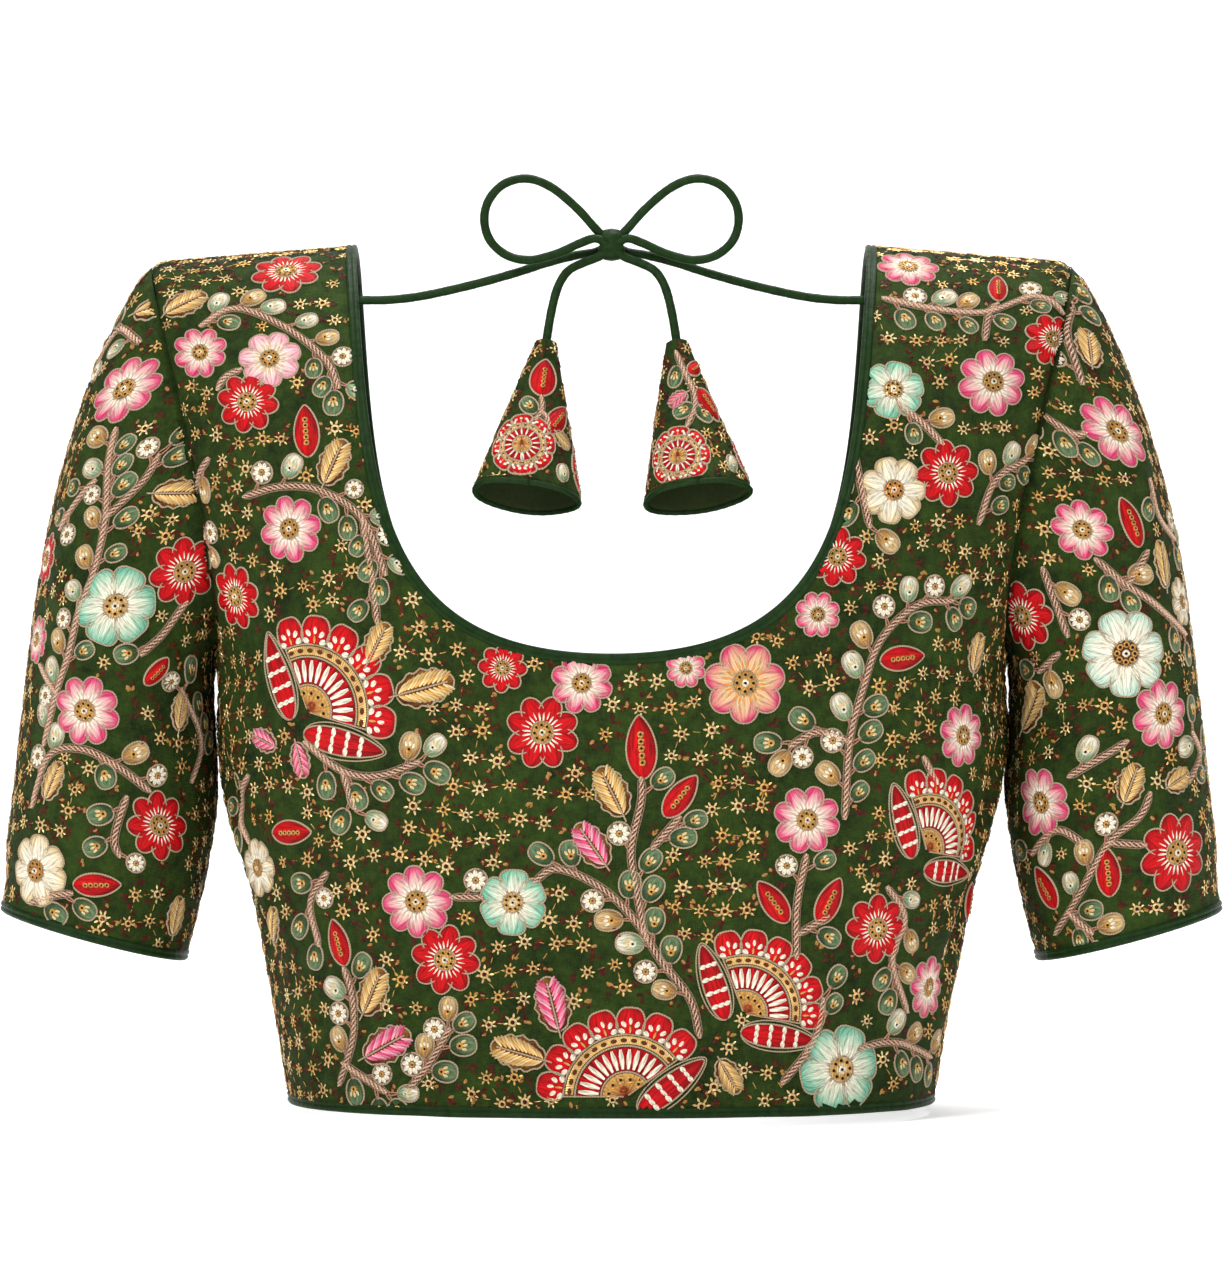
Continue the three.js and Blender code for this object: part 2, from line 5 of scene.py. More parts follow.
import bmesh
import bpy
import numpy as np
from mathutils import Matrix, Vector


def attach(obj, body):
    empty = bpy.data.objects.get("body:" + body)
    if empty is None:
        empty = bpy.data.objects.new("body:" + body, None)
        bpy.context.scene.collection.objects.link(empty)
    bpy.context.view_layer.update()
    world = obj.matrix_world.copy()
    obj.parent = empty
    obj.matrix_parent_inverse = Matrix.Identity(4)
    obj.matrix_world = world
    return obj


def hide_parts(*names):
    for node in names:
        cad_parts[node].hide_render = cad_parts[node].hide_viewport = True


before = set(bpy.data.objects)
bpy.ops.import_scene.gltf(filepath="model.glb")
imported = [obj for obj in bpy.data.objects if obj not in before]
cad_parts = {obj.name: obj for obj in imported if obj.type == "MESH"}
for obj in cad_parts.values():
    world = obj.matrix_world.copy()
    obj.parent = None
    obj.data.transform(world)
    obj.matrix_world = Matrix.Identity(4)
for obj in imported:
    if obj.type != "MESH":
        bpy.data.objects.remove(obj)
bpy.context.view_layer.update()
print("frame loaded")

# camera, floor and light
shot = {"distance": 2200, "height": -168.1, "lens": 145.4}
studio = {
    "floor": -366.0, "sweepDepth": 2700, "sweepRadius": 500, "sweepFront": -4200, "sweepHalf": 3600,
    "sweepTop": 3200, "world": 0.33,
    "lights": [
        {"name": "key_light", "at": (-1250, -1650, 1500), "size": 800, "power": 51},
        {"name": "fill_light", "at": (1500, -1500, 350), "size": 1300, "power": 13},
        {"name": "top_light", "at": (150, 350, 1500), "size": 1100, "power": 34},
    ],
}

scene = bpy.context.scene
scene.view_settings.view_transform = "Standard"


def linkObject(name, data):
    made = bpy.data.objects.new(name, data)
    scene.collection.objects.link(made)
    return made


camera = linkObject("camera", bpy.data.cameras.new("camera"))
camera.data.lens = shot["lens"]
camera.data.sensor_width = 36
camera.data.clip_end = 30
camera.location = (0, -shot["distance"] * 0.001, shot["height"] * 0.001)
camera.rotation_euler = (math.pi / 2, 0, 0)
scene.camera = camera


def aimAt(thing, target):
    thing.rotation_euler = (Vector(target) - thing.location).to_track_quat("-Z", "Y").to_euler()


for lamp in studio["lights"]:
    light = bpy.data.lights.new(lamp["name"], "AREA")
    light.shape = "DISK"
    light.size = lamp["size"] * 0.001
    light.energy = lamp["power"]
    made = linkObject(lamp["name"], light)
    made.location = [value * 0.001 for value in lamp["at"]]
    aimAt(made, (0, 0, shot["height"] * 0.001))
world = bpy.data.worlds.new("studio")
world.use_nodes = True
world.node_tree.nodes["Background"].inputs["Color"].default_value = (1, 1, 1, 1)
world.node_tree.nodes["Background"].inputs["Strength"].default_value = studio["world"]
scene.world = world


# vectors and meshes
def unit(vectors):
    # each vector divided by its own length
    return vectors / np.maximum(np.linalg.norm(vectors, axis=-1, keepdims=True), 1e-9)


def roundTurn(count):
    # angles evenly spaced round a full turn
    return np.linspace(0, 2 * np.pi, count, endpoint=False)


def gridFaces(rows, columns, roundRows=False, roundColumns=False):
    # squares between neighbouring rows and columns, joined round where asked
    row = np.arange(rows if roundRows else rows - 1)[:, None]
    column = np.arange(columns if roundColumns else columns - 1)[None, :]
    nextRow, nextColumn = (row + 1) % rows, (column + 1) % columns
    corners = [row * columns + column, row * columns + nextColumn,
               nextRow * columns + nextColumn, nextRow * columns + column]
    return np.stack([np.broadcast_to(c, (row.size, column.size)) for c in corners], -1).reshape(-1, 4)


def makeMesh(name, points, faces, materials, uv=None, tint=None, weld=0.0, closed=False):
    # points in millimetres, faces of four corners, uv and tint given point by point
    mesh = bpy.data.meshes.new(name)
    points, faces = np.asarray(points, float).reshape(-1, 3), np.asarray(faces).reshape(-1, 4)
    mesh.vertices.add(len(points))
    mesh.vertices.foreach_set("co", (points * 0.001).astype(np.float32).ravel())
    mesh.loops.add(faces.size)
    mesh.loops.foreach_set("vertex_index", faces.astype(np.int32).ravel())
    mesh.polygons.add(len(faces))
    mesh.polygons.foreach_set("loop_start", np.arange(0, faces.size, 4, dtype=np.int32))
    if uv is not None:
        layer = mesh.uv_layers.new(name="lie")
        layer.data.foreach_set("uv", np.asarray(uv, np.float32).reshape(-1, 2)[faces.ravel()].ravel())
    if tint is not None:
        colours = np.ones((len(points), 4), np.float32)
        colours[:, :3] = np.asarray(tint).reshape(-1, 3)
        mesh.attributes.new("tint", "FLOAT_COLOR", "POINT").data.foreach_set("color", colours.ravel())
    for material in materials:
        mesh.materials.append(material)
    mesh.update(calc_edges=True)
    mesh.polygons.foreach_set("use_smooth", np.ones(len(faces), bool))
    if weld:
        work = bmesh.new()
        work.from_mesh(mesh)
        bmesh.ops.remove_doubles(work, verts=work.verts, dist=weld * 0.001)
        if closed:
            bmesh.ops.recalc_face_normals(work, faces=work.faces)
        work.to_mesh(mesh)
        work.free()
    mesh.validate()
    mesh.update()
    return linkObject(name, mesh)


def place(piece, slotName, *nodes):
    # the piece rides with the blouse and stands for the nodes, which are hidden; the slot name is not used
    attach(piece, "root")
    if nodes:
        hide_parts(*nodes)
    return piece


def addWall(piece, thickness):
    # gives a sheet its thickness, inwards from its outer face, with its second material inside
    solid = piece.modifiers.new("wall", "SOLIDIFY")
    solid.thickness = thickness * 0.001
    solid.offset = -1
    solid.use_even_offset = False
    solid.material_offset = solid.material_offset_rim = 1


def along(points):
    # distance gone along a line of points, from 0 at its first
    steps = np.linalg.norm(np.diff(points, axis=0), axis=1)
    return np.concatenate([[0], np.cumsum(steps)])


def smoothLine(points, spacing):
    # a Catmull-Rom curve through the points, with its samples evenly spaced
    points = np.asarray(points, float)
    ends = [2 * points[0] - points[1], 2 * points[-1] - points[-2]]
    p = np.vstack([ends[0], points, ends[1]])
    t = np.linspace(0, 1, 24, endpoint=False)[:, None]
    parts = [0.5 * (2 * b + t * (c - a) + t * t * (2 * a - 5 * b + 4 * c - d) + t ** 3 * (3 * b - a - 3 * c + d))
             for a, b, c, d in zip(p[:-3], p[1:-2], p[2:-1], p[3:])]
    fine = np.vstack(parts + [points[-1:]])
    gone = along(fine)
    at = np.linspace(0, gone[-1], max(int(gone[-1] / spacing), 2) + 1)
    return np.stack([np.interp(at, gone, fine[:, k]) for k in range(fine.shape[1])], -1)


# materials
def colour(red, green, blue):
    # a colour given as 0 to 255 on a screen, as the linear light a shader works in
    screen = np.array([red, green, blue]) / 255
    return np.where(screen <= 0.04045, screen / 12.92, ((screen + 0.055) / 1.055) ** 2.4)


class Wire:
    # One output in a material. Arithmetic adds Math nodes; blend, scale and node add the others.
    def __init__(self, tree, output):
        self.tree, self.output = tree, output

    def feed(self, socket, value):
        if isinstance(value, Wire):
            self.tree.links.new(value.output, socket)
        elif np.ndim(value):
            socket.default_value = [*value, 1.0][:len(socket.default_value)]
        else:
            socket.default_value = value

    def node(self, kind, inputs, output=0, **settings):
        made = self.tree.nodes.new(kind)
        for key, value in settings.items():
            setattr(made, key, value)
        for key, value in inputs.items():
            self.feed(made.inputs[key], value)
        return Wire(self.tree, made.outputs[output])

    def maths(self, operation, first, second=0.0, clamp=False):
        return self.node("ShaderNodeMath", {0: first, 1: second}, operation=operation, use_clamp=clamp)

    def __add__(self, other): return self.maths("ADD", self, other)
    def __sub__(self, other): return self.maths("SUBTRACT", self, other)
    def __mul__(self, other): return self.maths("MULTIPLY", self, other)

    def sine(self): return self.maths("SINE", self)
    def clip(self): return self.maths("ADD", self, 0.0, clamp=True)

    def blend(self, low, high):
        # this output is the share of the high colour
        return self.node("ShaderNodeMix", {0: self, 6: low, 7: high}, 2, data_type="RGBA")

    def stretch(self, *factors):
        return self.node("ShaderNodeVectorMath", {0: self, 1: factors}, operation="MULTIPLY")

    def dim(self, factor):
        # a colour made darker or lighter by a number
        return self.node("ShaderNodeVectorMath", {0: self, "Scale": factor}, operation="SCALE")

    def noise(self, size, detail=2.0, rough=0.5):
        inputs = {"Vector": self, "Scale": size, "Detail": detail, "Roughness": rough}
        return self.node("ShaderNodeTexNoise", inputs)

    def part(self, axis):
        return self.node("ShaderNodeSeparateXYZ", {0: self}, axis)


class Finish:
    # A new material, its Principled shader, and the coordinates its pattern starts from.
    def __init__(self, name, **fixed):
        self.material = bpy.data.materials.new(name)
        self.material.use_nodes = True
        self.tree = self.material.node_tree
        self.shader = self.tree.nodes["Principled BSDF"]
        self.start = Wire(self.tree, None)
        for key, value in fixed.items():
            self.start.feed(self.shader.inputs[key.replace("_", " ")], value)

    def places(self):
        return self.start.node("ShaderNodeTexCoord", {}, "Object")

    def lie(self):
        return self.start.node("ShaderNodeUVMap", {}, uv_map="lie")

    def tint(self):
        return self.start.node("ShaderNodeAttribute", {}, attribute_name="tint")

    def send(self, socket, wire):
        self.start.feed(self.shader.inputs[socket], wire)

    def bump(self, height, distance):
        # the surface raised by the height, over a distance in millimetres
        self.send("Normal", self.start.node("ShaderNodeBump", {"Height": height, "Distance": distance * 0.001}))


clothShades = {"deep": (16, 28, 5), "lit": (50, 70, 20), "inside": (50, 58, 28)}
satinShades = {"deep": (5, 20, 4), "lit": (30, 58, 18)}


def makeGroundCloth():
    # olive cloth: slubs both ways, soft patches, a little fuzz
    finish = Finish("olive_ground_cloth", Roughness=0.82, Specular_IOR_Level=0.12)
    lie, places = finish.lie(), finish.places()
    warp = lie.stretch(2.6, 0.25, 1).noise(1.0, 2.0)
    weft = lie.stretch(0.25, 2.6, 1).noise(1.0, 2.0)
    patches = places.noise(38.0, 3.0)
    specks = places.noise(900.0, 2.0, 0.7)
    clouds = places.noise(170.0, 3.0, 0.7)
    tone = (warp * 0.6 + weft * 0.6 + patches * 0.9 + clouds * 1.5 + specks * 0.5 - 1.6).clip()
    mixed = tone.blend(colour(*clothShades["deep"]), colour(*clothShades["lit"]))
    finish.send("Base Color", mixed)
    finish.send("Roughness", specks * 0.2 + 0.7)
    finish.bump(warp + weft + specks * 0.7, 0.5)
    return finish.material


def makeInnerCloth():
    # lining side: plain cotton in a greyer olive
    finish = Finish("olive_inner_cotton", Roughness=0.88, Specular_IOR_Level=0.15)
    places = finish.places()
    weave = places.stretch(1, 1, 6).noise(420.0, 3.0) + places.stretch(6, 6, 1).noise(300.0, 3.0)
    tone = (weave * 0.5 + places.noise(24.0, 2.0) * 0.6 - 0.3).clip()
    finish.send("Base Color", tone.blend(colour(*clothShades["deep"]), colour(*clothShades["inside"])))
    finish.bump(weave, 0.3)
    return finish.material


def makeSatin(name, twist):
    # satin cut on the bias: fine lines along it, slow changes of shade, a soft gloss
    finish = Finish(name, Roughness=0.42, Specular_IOR_Level=0.1)
    lie, places = finish.lie(), finish.places()
    lines = lie.stretch(0.35 + twist, 4.5, 1).noise(1.0, 3.0)
    puckers = lie.stretch(0.32, 0.12, 1).noise(1.0, 2.0)
    tone = (lines * 0.6 + puckers * 0.9 + places.noise(60.0) * 0.3 - 0.4).clip()
    finish.send("Base Color", tone.blend(colour(*satinShades["deep"]), colour(*satinShades["lit"])))
    finish.send("Roughness", lines * 0.2 + 0.34)
    finish.bump(lines * 0.35 + puckers, 0.55)
    return finish.material


def makeHookMetal():
    # blackened steel wire, rubbed bright in places
    finish = Finish("blackened_hook_steel", Metallic=1.0, Roughness=0.35)
    rub = finish.places().noise(700.0, 3.0)
    finish.send("Base Color", rub.blend(colour(40, 38, 36), colour(120, 108, 84)))
    finish.send("Roughness", rub * 0.3 + 0.2)
    finish.bump(rub, 0.05)
    return finish.material


def makeStageWhite():
    # white paper, with a faint glow of its own so that it stays even
    finish = Finish("studio_white", Base_Color=(0.93, 0.93, 0.93, 1), Roughness=0.9,
                    Emission_Color=(1, 1, 1, 1), Emission_Strength=0.42)
    return finish.material


groundCloth, innerCloth = makeGroundCloth(), makeInnerCloth()
satinBinding, satinCord = makeSatin("green_satin_binding", 0.0), makeSatin("green_satin_dori", 0.1)
hookMetal, stageWhite = makeHookMetal(), makeStageWhite()
print("materials ready")


# floor that sweeps up into a backdrop: flat, then a quarter circle, then upright
def makeStage():
    radius, depth, floor = studio["sweepRadius"], studio["sweepDepth"], studio["floor"]
    bend = np.linspace(0, math.pi / 2, 17)
    y = np.concatenate([[studio["sweepFront"]], depth + radius * np.sin(bend), [depth + radius]])
    z = np.concatenate([[floor], floor + radius * (1 - np.cos(bend)), [floor + studio["sweepTop"]]])
    x = np.array([-1, 1]) * studio["sweepHalf"]
    points = np.stack(np.broadcast_arrays(x[None, :], y[:, None], z[:, None]), -1)
    backdrop = makeMesh("backdrop", points, gridFaces(len(y), 2), [stageWhite])


makeStage()

# the dori: two satin cords that cross in the knot, each from the neck through a loop to its tassel
dori = {
    "diameter": 3.6, "sides": 12,
    "strap": [(-104.2, -51.6, -26.3), (-92, -53.5, -26.3), (-78, -55.5, -24.8), (-58, -58.5, -20.6),
              (-40, -60.5, -15.8), (-26, -61.5, -11.4), (-14, -62, -8.4), (-5.9, -62.2, -7)],
    "loop": [(-5.3, -64.6, 0.9), (-14, -65, 10.4), (-24.5, -66, 19), (-34.5, -67, 22.6), (-44, -67.5, 20.4),
             (-50.4, -67.8, 13.6), (-52.2, -68, 5.2), (-49.6, -68.2, -3.2), (-42.5, -68.4, -9.2),
             (-33, -68.4, -10.9), (-22, -68, -8.1), (-13, -67.4, -4), (-6.1, -67, -2)],
    "tail": [(-5.2, -66, -9.4), (-12, -67.6, -12.2), (-17.2, -69.4, -15), (-20.4, -71.2, -19),
             (-22.6, -73, -24.2), (-24.2, -75, -30.6), (-25.5, -76.8, -37.6), (-26.5, -78.4, -44.4)],
    "knotSize": (5.6, 4.6, 7.2), "knotAt": (0, -64.6, -4.4),
}
latkan = {"length": 68, "tip": 4.2, "mouth": 22.4, "lean": 15, "spread": 7, "cordInside": 10, "clothEnd": 66,
          "sides": 56, "rimStations": 96, "rimSides": 14, "rimUp": 1.4, "rimIn": 0.75, "rimRadius": 1.15}


def latkanAxis(sign):
    # leans towards the back and outwards, pointing down
    x, y = sign * math.sin(math.radians(latkan["spread"])), -math.sin(math.radians(latkan["lean"]))
    return np.array([x, y, -math.sqrt(1 - x * x - y * y)])


def tubeMesh(name, path, radius, sides, material):
    # a round section carried along the path without twist; radius may vary along it; ends drawn closed
    gone = along(path)
    ahead = unit(np.gradient(path, gone, axis=0))
    side = unit(np.cross(ahead, (0, 1, 0.02)))
    up = np.cross(side, ahead)
    angle = roundTurn(sides)
    ring = side[:, None] * np.cos(angle)[None, :, None] + up[:, None] * np.sin(angle)[None, :, None]
    wide = np.broadcast_to(radius, gone.shape)[:, None, None]
    points = path[:, None] + ring * wide
    caps = [np.repeat(path[:1, None], sides, 1), np.repeat(path[-1:, None], sides, 1)]
    points = np.concatenate([caps[0], points, caps[1]])
    reach = np.concatenate([[0], gone, gone[-1:]])
    uv = np.stack(np.broadcast_arrays(reach[:, None], angle[None, :] * np.mean(radius)), -1)
    faces = gridFaces(len(points), sides, roundColumns=True)
    return makeMesh(name, points, faces, [material], uv=uv, weld=0.0005, closed=True)


def makeDori():
    made = []
    for name, sign in (("left", 1), ("right", -1)):
        own, other = np.array([sign, 1, 1]), np.array([-sign, 1, 1])
        centre = np.array([[-0.3 * sign, -63.4 - 1.1 * sign, -3]])
        back = np.array([[0.3 * sign, -66.6 + 0.6 * sign, -5.6]])
        inside = own * np.array(dori["tail"][-1]) + latkanAxis(-sign) * latkan["cordInside"]
        route = np.vstack([np.array(dori["strap"]) * own, centre, np.array(dori["loop"]) * other, back,
                           np.array(dori["tail"]) * own, inside[None]])
        path = smoothLine(route, 1.3)
        gone = along(path)
        pucker = 1 + 0.025 * np.sin(gone * 1.9 + sign) * np.sin(gone * 0.23) + 0.02 * np.sin(gone * 0.71)
        cord = tubeMesh(f"dori_{name}", path, dori["diameter"] / 2 * pucker, dori["sides"], satinCord)
        nodes = [f"dori_strap_{name}", f"dori_tail_{name}", f"dori_loop_{'right' if sign > 0 else 'left'}"]
        place(cord, "satin_cord", *nodes)
        print(f"dori {name}: {gone[-1]:.1f} mm")
        made.append((cord, path, gone[-1]))
    return made


doriCords = makeDori()


# the knot: a rounded barrel with three turns of cord round it
def makeKnot():
    rows, sides = 25, 36
    v = np.linspace(-1, 1, rows)[:, None]
    angle = roundTurn(sides)[None, :]
    turns = np.abs(np.sin(1.5 * np.pi * (v + 0.16 * np.sin(angle))))
    swell = np.sqrt(np.maximum(1 - v ** 4, 0)) * (0.86 + 0.16 * turns)
    x, y, z = dori["knotSize"]
    points = np.stack(np.broadcast_arrays(x * swell * np.cos(angle), y * swell * np.sin(angle), z * v * 0.94), -1)
    points = points + np.array(dori["knotAt"])
    uv = np.stack(np.broadcast_arrays(angle * x, v * z), -1)
    faces = gridFaces(rows, sides, roundColumns=True)
    wrap = makeMesh("dori_wrap", points, faces, [satinCord], uv=uv, weld=0.0005, closed=True)
    place(wrap, "satin_cord", "dori_knot")


makeKnot()
print("dori tied")


# the body's surface
body = {
    "power": 2.4, "shoulderFall": 7, "rounding": 150, "bust": 11, "neckHalf": 107.6, "shoulderHalf": 194.6,
    "moundOut": 76, "moundWidth": 46, "moundDrop": 212, "moundTall": 52, "armhole": 172, "hem": 361.6, "wall": 1.5,
    "columns": 44, "rowsBelow": 40, "rowsYoke": 56, "seamDip": 2.5, "seamReach": 2.7,
}
bodySections = [
    {"drop": 0, "half": 216, "back": 96, "front": 92}, {"drop": 35, "half": 207, "back": 99, "front": 98},
    {"drop": 78, "half": 197, "back": 102, "front": 105}, {"drop": 124, "half": 184, "back": 104, "front": 113},
    {"drop": 172, "half": 167.6, "back": 104, "front": 121}, {"drop": 205, "half": 166.6, "back": 102, "front": 124},
    {"drop": 240, "half": 162, "back": 99, "front": 118}, {"drop": 275, "half": 151.6, "back": 95, "front": 106},
    {"drop": 316, "half": 143.6, "back": 91, "front": 100}, {"drop": 361.6, "half": 136, "back": 88, "front": 98},
]
edges = {
    "backNeck": [(107.6, 0), (95.6, 94), (104.4, 172.3), (0, 172.3)],
    "frontNeck": [(107.6, 0), (106.2, 115), (101.5, 174), (0, 174)],
    "armhole": [(194.6, 0), (187, 56), (163, 119), (167.6, 172)],
}
# soft creases: start and end as (round the body, drop), width and depth; a ridge lies beside each
creases = {
    -1: [(252, 178, 196, 262, 10, 2.3), (262, 226, 214, 306, 9, 1.7), (250, 268, 176, 334, 12, 1.6),
         (158, 148, 214, 186, 9, 1.5), (196, 92, 176, 150, 11, 1.3), (150, 30, 176, 96, 12, 1.2),
         (88, 330, 60, 362, 14, 1.2), (118, 300, 150, 352, 11, 1.0), (20, 196, 66, 238, 16, 0.9),
         (-256, 184, -188, 258, 11, 2.1), (-262, 232, -206, 318, 9, 1.8), (-244, 276, -160, 322, 10, 1.3),
         (-150, 156, -216, 182, 10, 1.6), (-190, 100, -172, 146, 9, 1.2), (-146, 22, -182, 84, 11, 1.3),
         (-70, 322, -96, 362, 12, 1.3), (-30, 250, -84, 214, 15, 0.8), (-128, 292, -112, 340, 10, 0.9)],
    1: [(256, 190, 176, 226, 11, 2.2), (260, 238, 190, 296, 10, 1.8), (240, 286, 160, 330, 10, 1.5),
        (120, 232, 104, 350, 9, 1.6), (60, 262, 74, 350, 9, 1.3), (196, 110, 158, 168, 11, 1.4),
        (130, 40, 128, 120, 13, 1.2), (-256, 184, -180, 232, 11, 2.0), (-262, 244, -196, 300, 9, 1.9),
        (-236, 280, -156, 338, 11, 1.4), (-122, 228, -108, 346, 9, 1.7), (-64, 268, -70, 352, 9, 1.2),
        (-198, 104, -162, 160, 10, 1.5), (-126, 52, -134, 132, 12, 1.1)],
    "right sleeve": [(40, 64, 92, 84, 10, 1.9), (58, 98, 128, 112, 9, 2.2), (96, 128, 30, 142, 10, 1.6),
                     (120, 150, 70, 166, 9, 1.5), (10, 40, 34, 92, 12, 1.3), (60, 176, 120, 186, 9, 1.1),
                     (-44, 70, -100, 92, 10, 2.0), (-60, 112, -128, 122, 9, 2.1), (-30, 140, -92, 150, 10, 1.5),
                     (-100, 168, -50, 182, 9, 1.3), (0, 190, 48, 202, 11, 0.9)],
    "left sleeve": [(36, 58, 88, 88, 11, 1.8), (64, 104, 126, 106, 9, 2.3), (88, 122, 38, 136, 10, 1.4),
                    (122, 146, 78, 158, 9, 1.7), (14, 52, 30, 104, 12, 1.2), (52, 170, 104, 184, 10, 1.2),
                    (-40, 76, -96, 96, 10, 1.9), (-66, 106, -124, 126, 9, 2.2), (-36, 146, -88, 144, 9, 1.4),
                    (-96, 172, -46, 176, 9, 1.4), (-10, 186, 40, 198, 11, 0.8)],
}


def creaseHeight(u, v, folds):
    # the sum over the folds of a trough exp(-(distance / width)^2), faded at both ends, and a lower ridge
    height = np.zeros(np.broadcast(u, v).shape)
    for u0, v0, u1, v1, width, depth in folds:
        du, dv = u1 - u0, v1 - v0
        share = ((u - u0) * du + (v - v0) * dv) / (du * du + dv * dv)
        held = np.clip(share, 0, 1)
        distance = np.hypot(u - u0 - held * du, v - v0 - held * dv)
        side = ((u - u0) * dv - (v - v0) * du) / np.hypot(du, dv)
        fade = 0.35 + 0.65 * np.sin(np.pi * np.clip(share, 0.05, 0.95)) ** 0.7
        beside, beyond = (side - 1.6 * width) / width, (distance - np.abs(side)) / width
        height += depth * fade * (0.55 * np.exp(-beside ** 2 - beyond ** 2) - np.exp(-(distance / width) ** 2))
    return height


def readTable(rows, name, at, by="drop"):
    # one column of a table at any depth: a cubic through the rows, sloped by their neighbours
    x, v = np.array([row[by] for row in rows], float), np.array([row[name] for row in rows], float)
    before, after = np.maximum(np.arange(len(x)) - 1, 0), np.minimum(np.arange(len(x)) + 1, len(x) - 1)
    slope = (v[after] - v[before]) / (x[after] - x[before])
    i = np.clip(np.searchsorted(x, at) - 1, 0, len(x) - 2)
    span, rise = x[i + 1] - x[i], v[i + 1] - v[i]
    t, start, end = (at - x[i]) / span, slope[i] * span, slope[i + 1] * span
    return v[i] + t * (start + t * (3 * rise - 2 * start - end + t * (start + end - 2 * rise)))


def bezier(controls, t):
    # a cubic Bezier: (1-t)^3 a + 3 (1-t)^2 t b + 3 (1-t) t^2 c + t^3 d
    a, b, c, d = np.array(controls, float)
    t = np.asarray(t)[..., None]
    return (1 - t) ** 3 * a + 3 * (1 - t) ** 2 * t * b + 3 * (1 - t) * t * t * c + t ** 3 * d


def bodyShape(side, turn, drop):
    # half width and depth by drop, a rounded square section of power 2.4, rolled in over the shoulder,
    # with the bust's two mounds at the front
    turn, drop = np.broadcast_arrays(np.asarray(turn, float), np.asarray(drop, float))
    half = readTable(bodySections, "half", drop)
    depth = readTable(bodySections, "back" if side < 0 else "front", drop)
    rolled = np.sqrt(np.maximum(1 - (1 - np.clip(drop / body["rounding"], 0, 1)) ** 2, 0))
    power = 2 / body["power"]
    across = half * np.sign(turn) * np.abs(np.sin(turn)) ** power
    out = np.maximum(np.cos(turn), 0) ** power
    aside, below = np.abs(across) - body["moundOut"], drop - body["moundDrop"]
    mound = np.exp(-(aside / body["moundWidth"]) ** 2 - (below / body["moundTall"]) ** 2)
    full = body["bust"] * mound * out if side > 0 else 0
    ease = (np.abs(across) - body["neckHalf"]) / (body["shoulderHalf"] - body["neckHalf"])
    fall = body["shoulderFall"] * np.clip(ease, 0, 1.2) * (1 - np.minimum(drop / body["armhole"], 1)) ** 2
    return np.stack([across, side * (0.25 + depth * rolled * out + full), -drop - fall], -1)


def turnAt(x, drop):
    # the angle round the body that reaches a distance from the middle
    ratio = np.abs(x) / readTable(bodySections, "half", np.asarray(drop, float))
    return np.sign(x) * np.arcsin(np.clip(ratio, 0, 1) ** (body["power"] / 2))


def bodyNormal(side, turn, drop):
    # across the turn and down the drop, crossed, pointing away from the body
    turn, drop = np.broadcast_arrays(np.asarray(turn, float), np.asarray(drop, float))
    high = np.maximum(drop - 0.4, 0)
    around = bodyShape(side, turn + 0.004, drop) - bodyShape(side, turn - 0.004, drop)
    down = bodyShape(side, turn, high + 0.8) - bodyShape(side, turn, high)
    return unit(np.cross(down, around) * -side)


def armholeX(drop):
    # how far out the armhole edge lies at a drop
    line = bezier(edges["armhole"], np.linspace(0, 1, 200))
    return np.interp(drop, line[:, 1], line[:, 0])


def bodySurface(side, turn, drop):
    # the shape with its creases, and dipped where it is sewn at the armhole and the side
    point, normal = bodyShape(side, turn, drop), bodyNormal(side, turn, drop)
    turn, drop = np.broadcast_arrays(np.asarray(turn, float), np.asarray(drop, float))
    height = creaseHeight(turn * 170, drop, creases[side])
    armGap = np.where(drop < body["armhole"], np.abs(armholeX(drop) - np.abs(point[..., 0])), 99)
    sideGap = np.where(drop >= body["armhole"] - 3, (np.pi / 2 - np.abs(turn)) * 120, 99)
    gap = np.minimum(armGap, np.maximum(sideGap, 0))
    height = height * np.clip(gap / 8, 0, 1) - body["seamDip"] * np.exp(-(gap / body["seamReach"]) ** 2)
    return point + normal * height[..., None]


def neckEdge(side, t, inset=0.0):
    # the neckline, moved into the cloth by the inset at right angles to itself
    controls = edges["backNeck" if side < 0 else "frontNeck"]
    t = np.asarray(t, float)
    at = bezier(controls, t)
    ahead = unit(bezier(controls, np.minimum(t + 0.001, 1)) - bezier(controls, np.maximum(t - 0.001, 0)))
    x = np.maximum(at[..., 0] + inset * ahead[..., 1], 0)
    return x, np.where(t < 1e-6, 0, at[..., 1] - inset * ahead[..., 0])


def halfPanel(side, sign, open=0.0, inset=1.6):
    # rows of turn and drop from the middle line or the neck to the side seam or the armhole
    n, below, yoke = body["columns"], body["rowsBelow"], body["rowsYoke"]
    neckX, neckDrop = neckEdge(side, np.linspace(1, 0, yoke + 1), inset)
    bottom = neckDrop[0]
    left = np.concatenate([np.linspace(body["hem"] - inset, bottom, below, endpoint=False), neckDrop])
    right = np.concatenate([np.linspace(body["hem"] - inset, body["armhole"], below, endpoint=False),
                            neckDrop / bottom * body["armhole"]])
    start = turnAt(np.full(left.shape, open + 1e-6), left)
    start[below:] = np.maximum(start[below:], turnAt(neckX, neckDrop))
    end = np.full(left.shape, np.pi / 2)
    end[below + 1:] = turnAt(armholeX(right[below + 1:]) - 0.1, right[below + 1:])
    share = np.linspace(0, 1, n + 1)[None, :]
    turn = start[:, None] * (1 - share) + end[:, None] * share
    drop = left[:, None] * (1 - share) + right[:, None] * share
    points = bodySurface(side, turn * sign, drop)
    uv = np.stack([turn * sign * 165, drop], -1)
    faces = gridFaces(*turn.shape)
    if sign * side > 0:
        faces = faces[:, ::-1]
    return points.reshape(-1, 3), faces, uv.reshape(-1, 2)


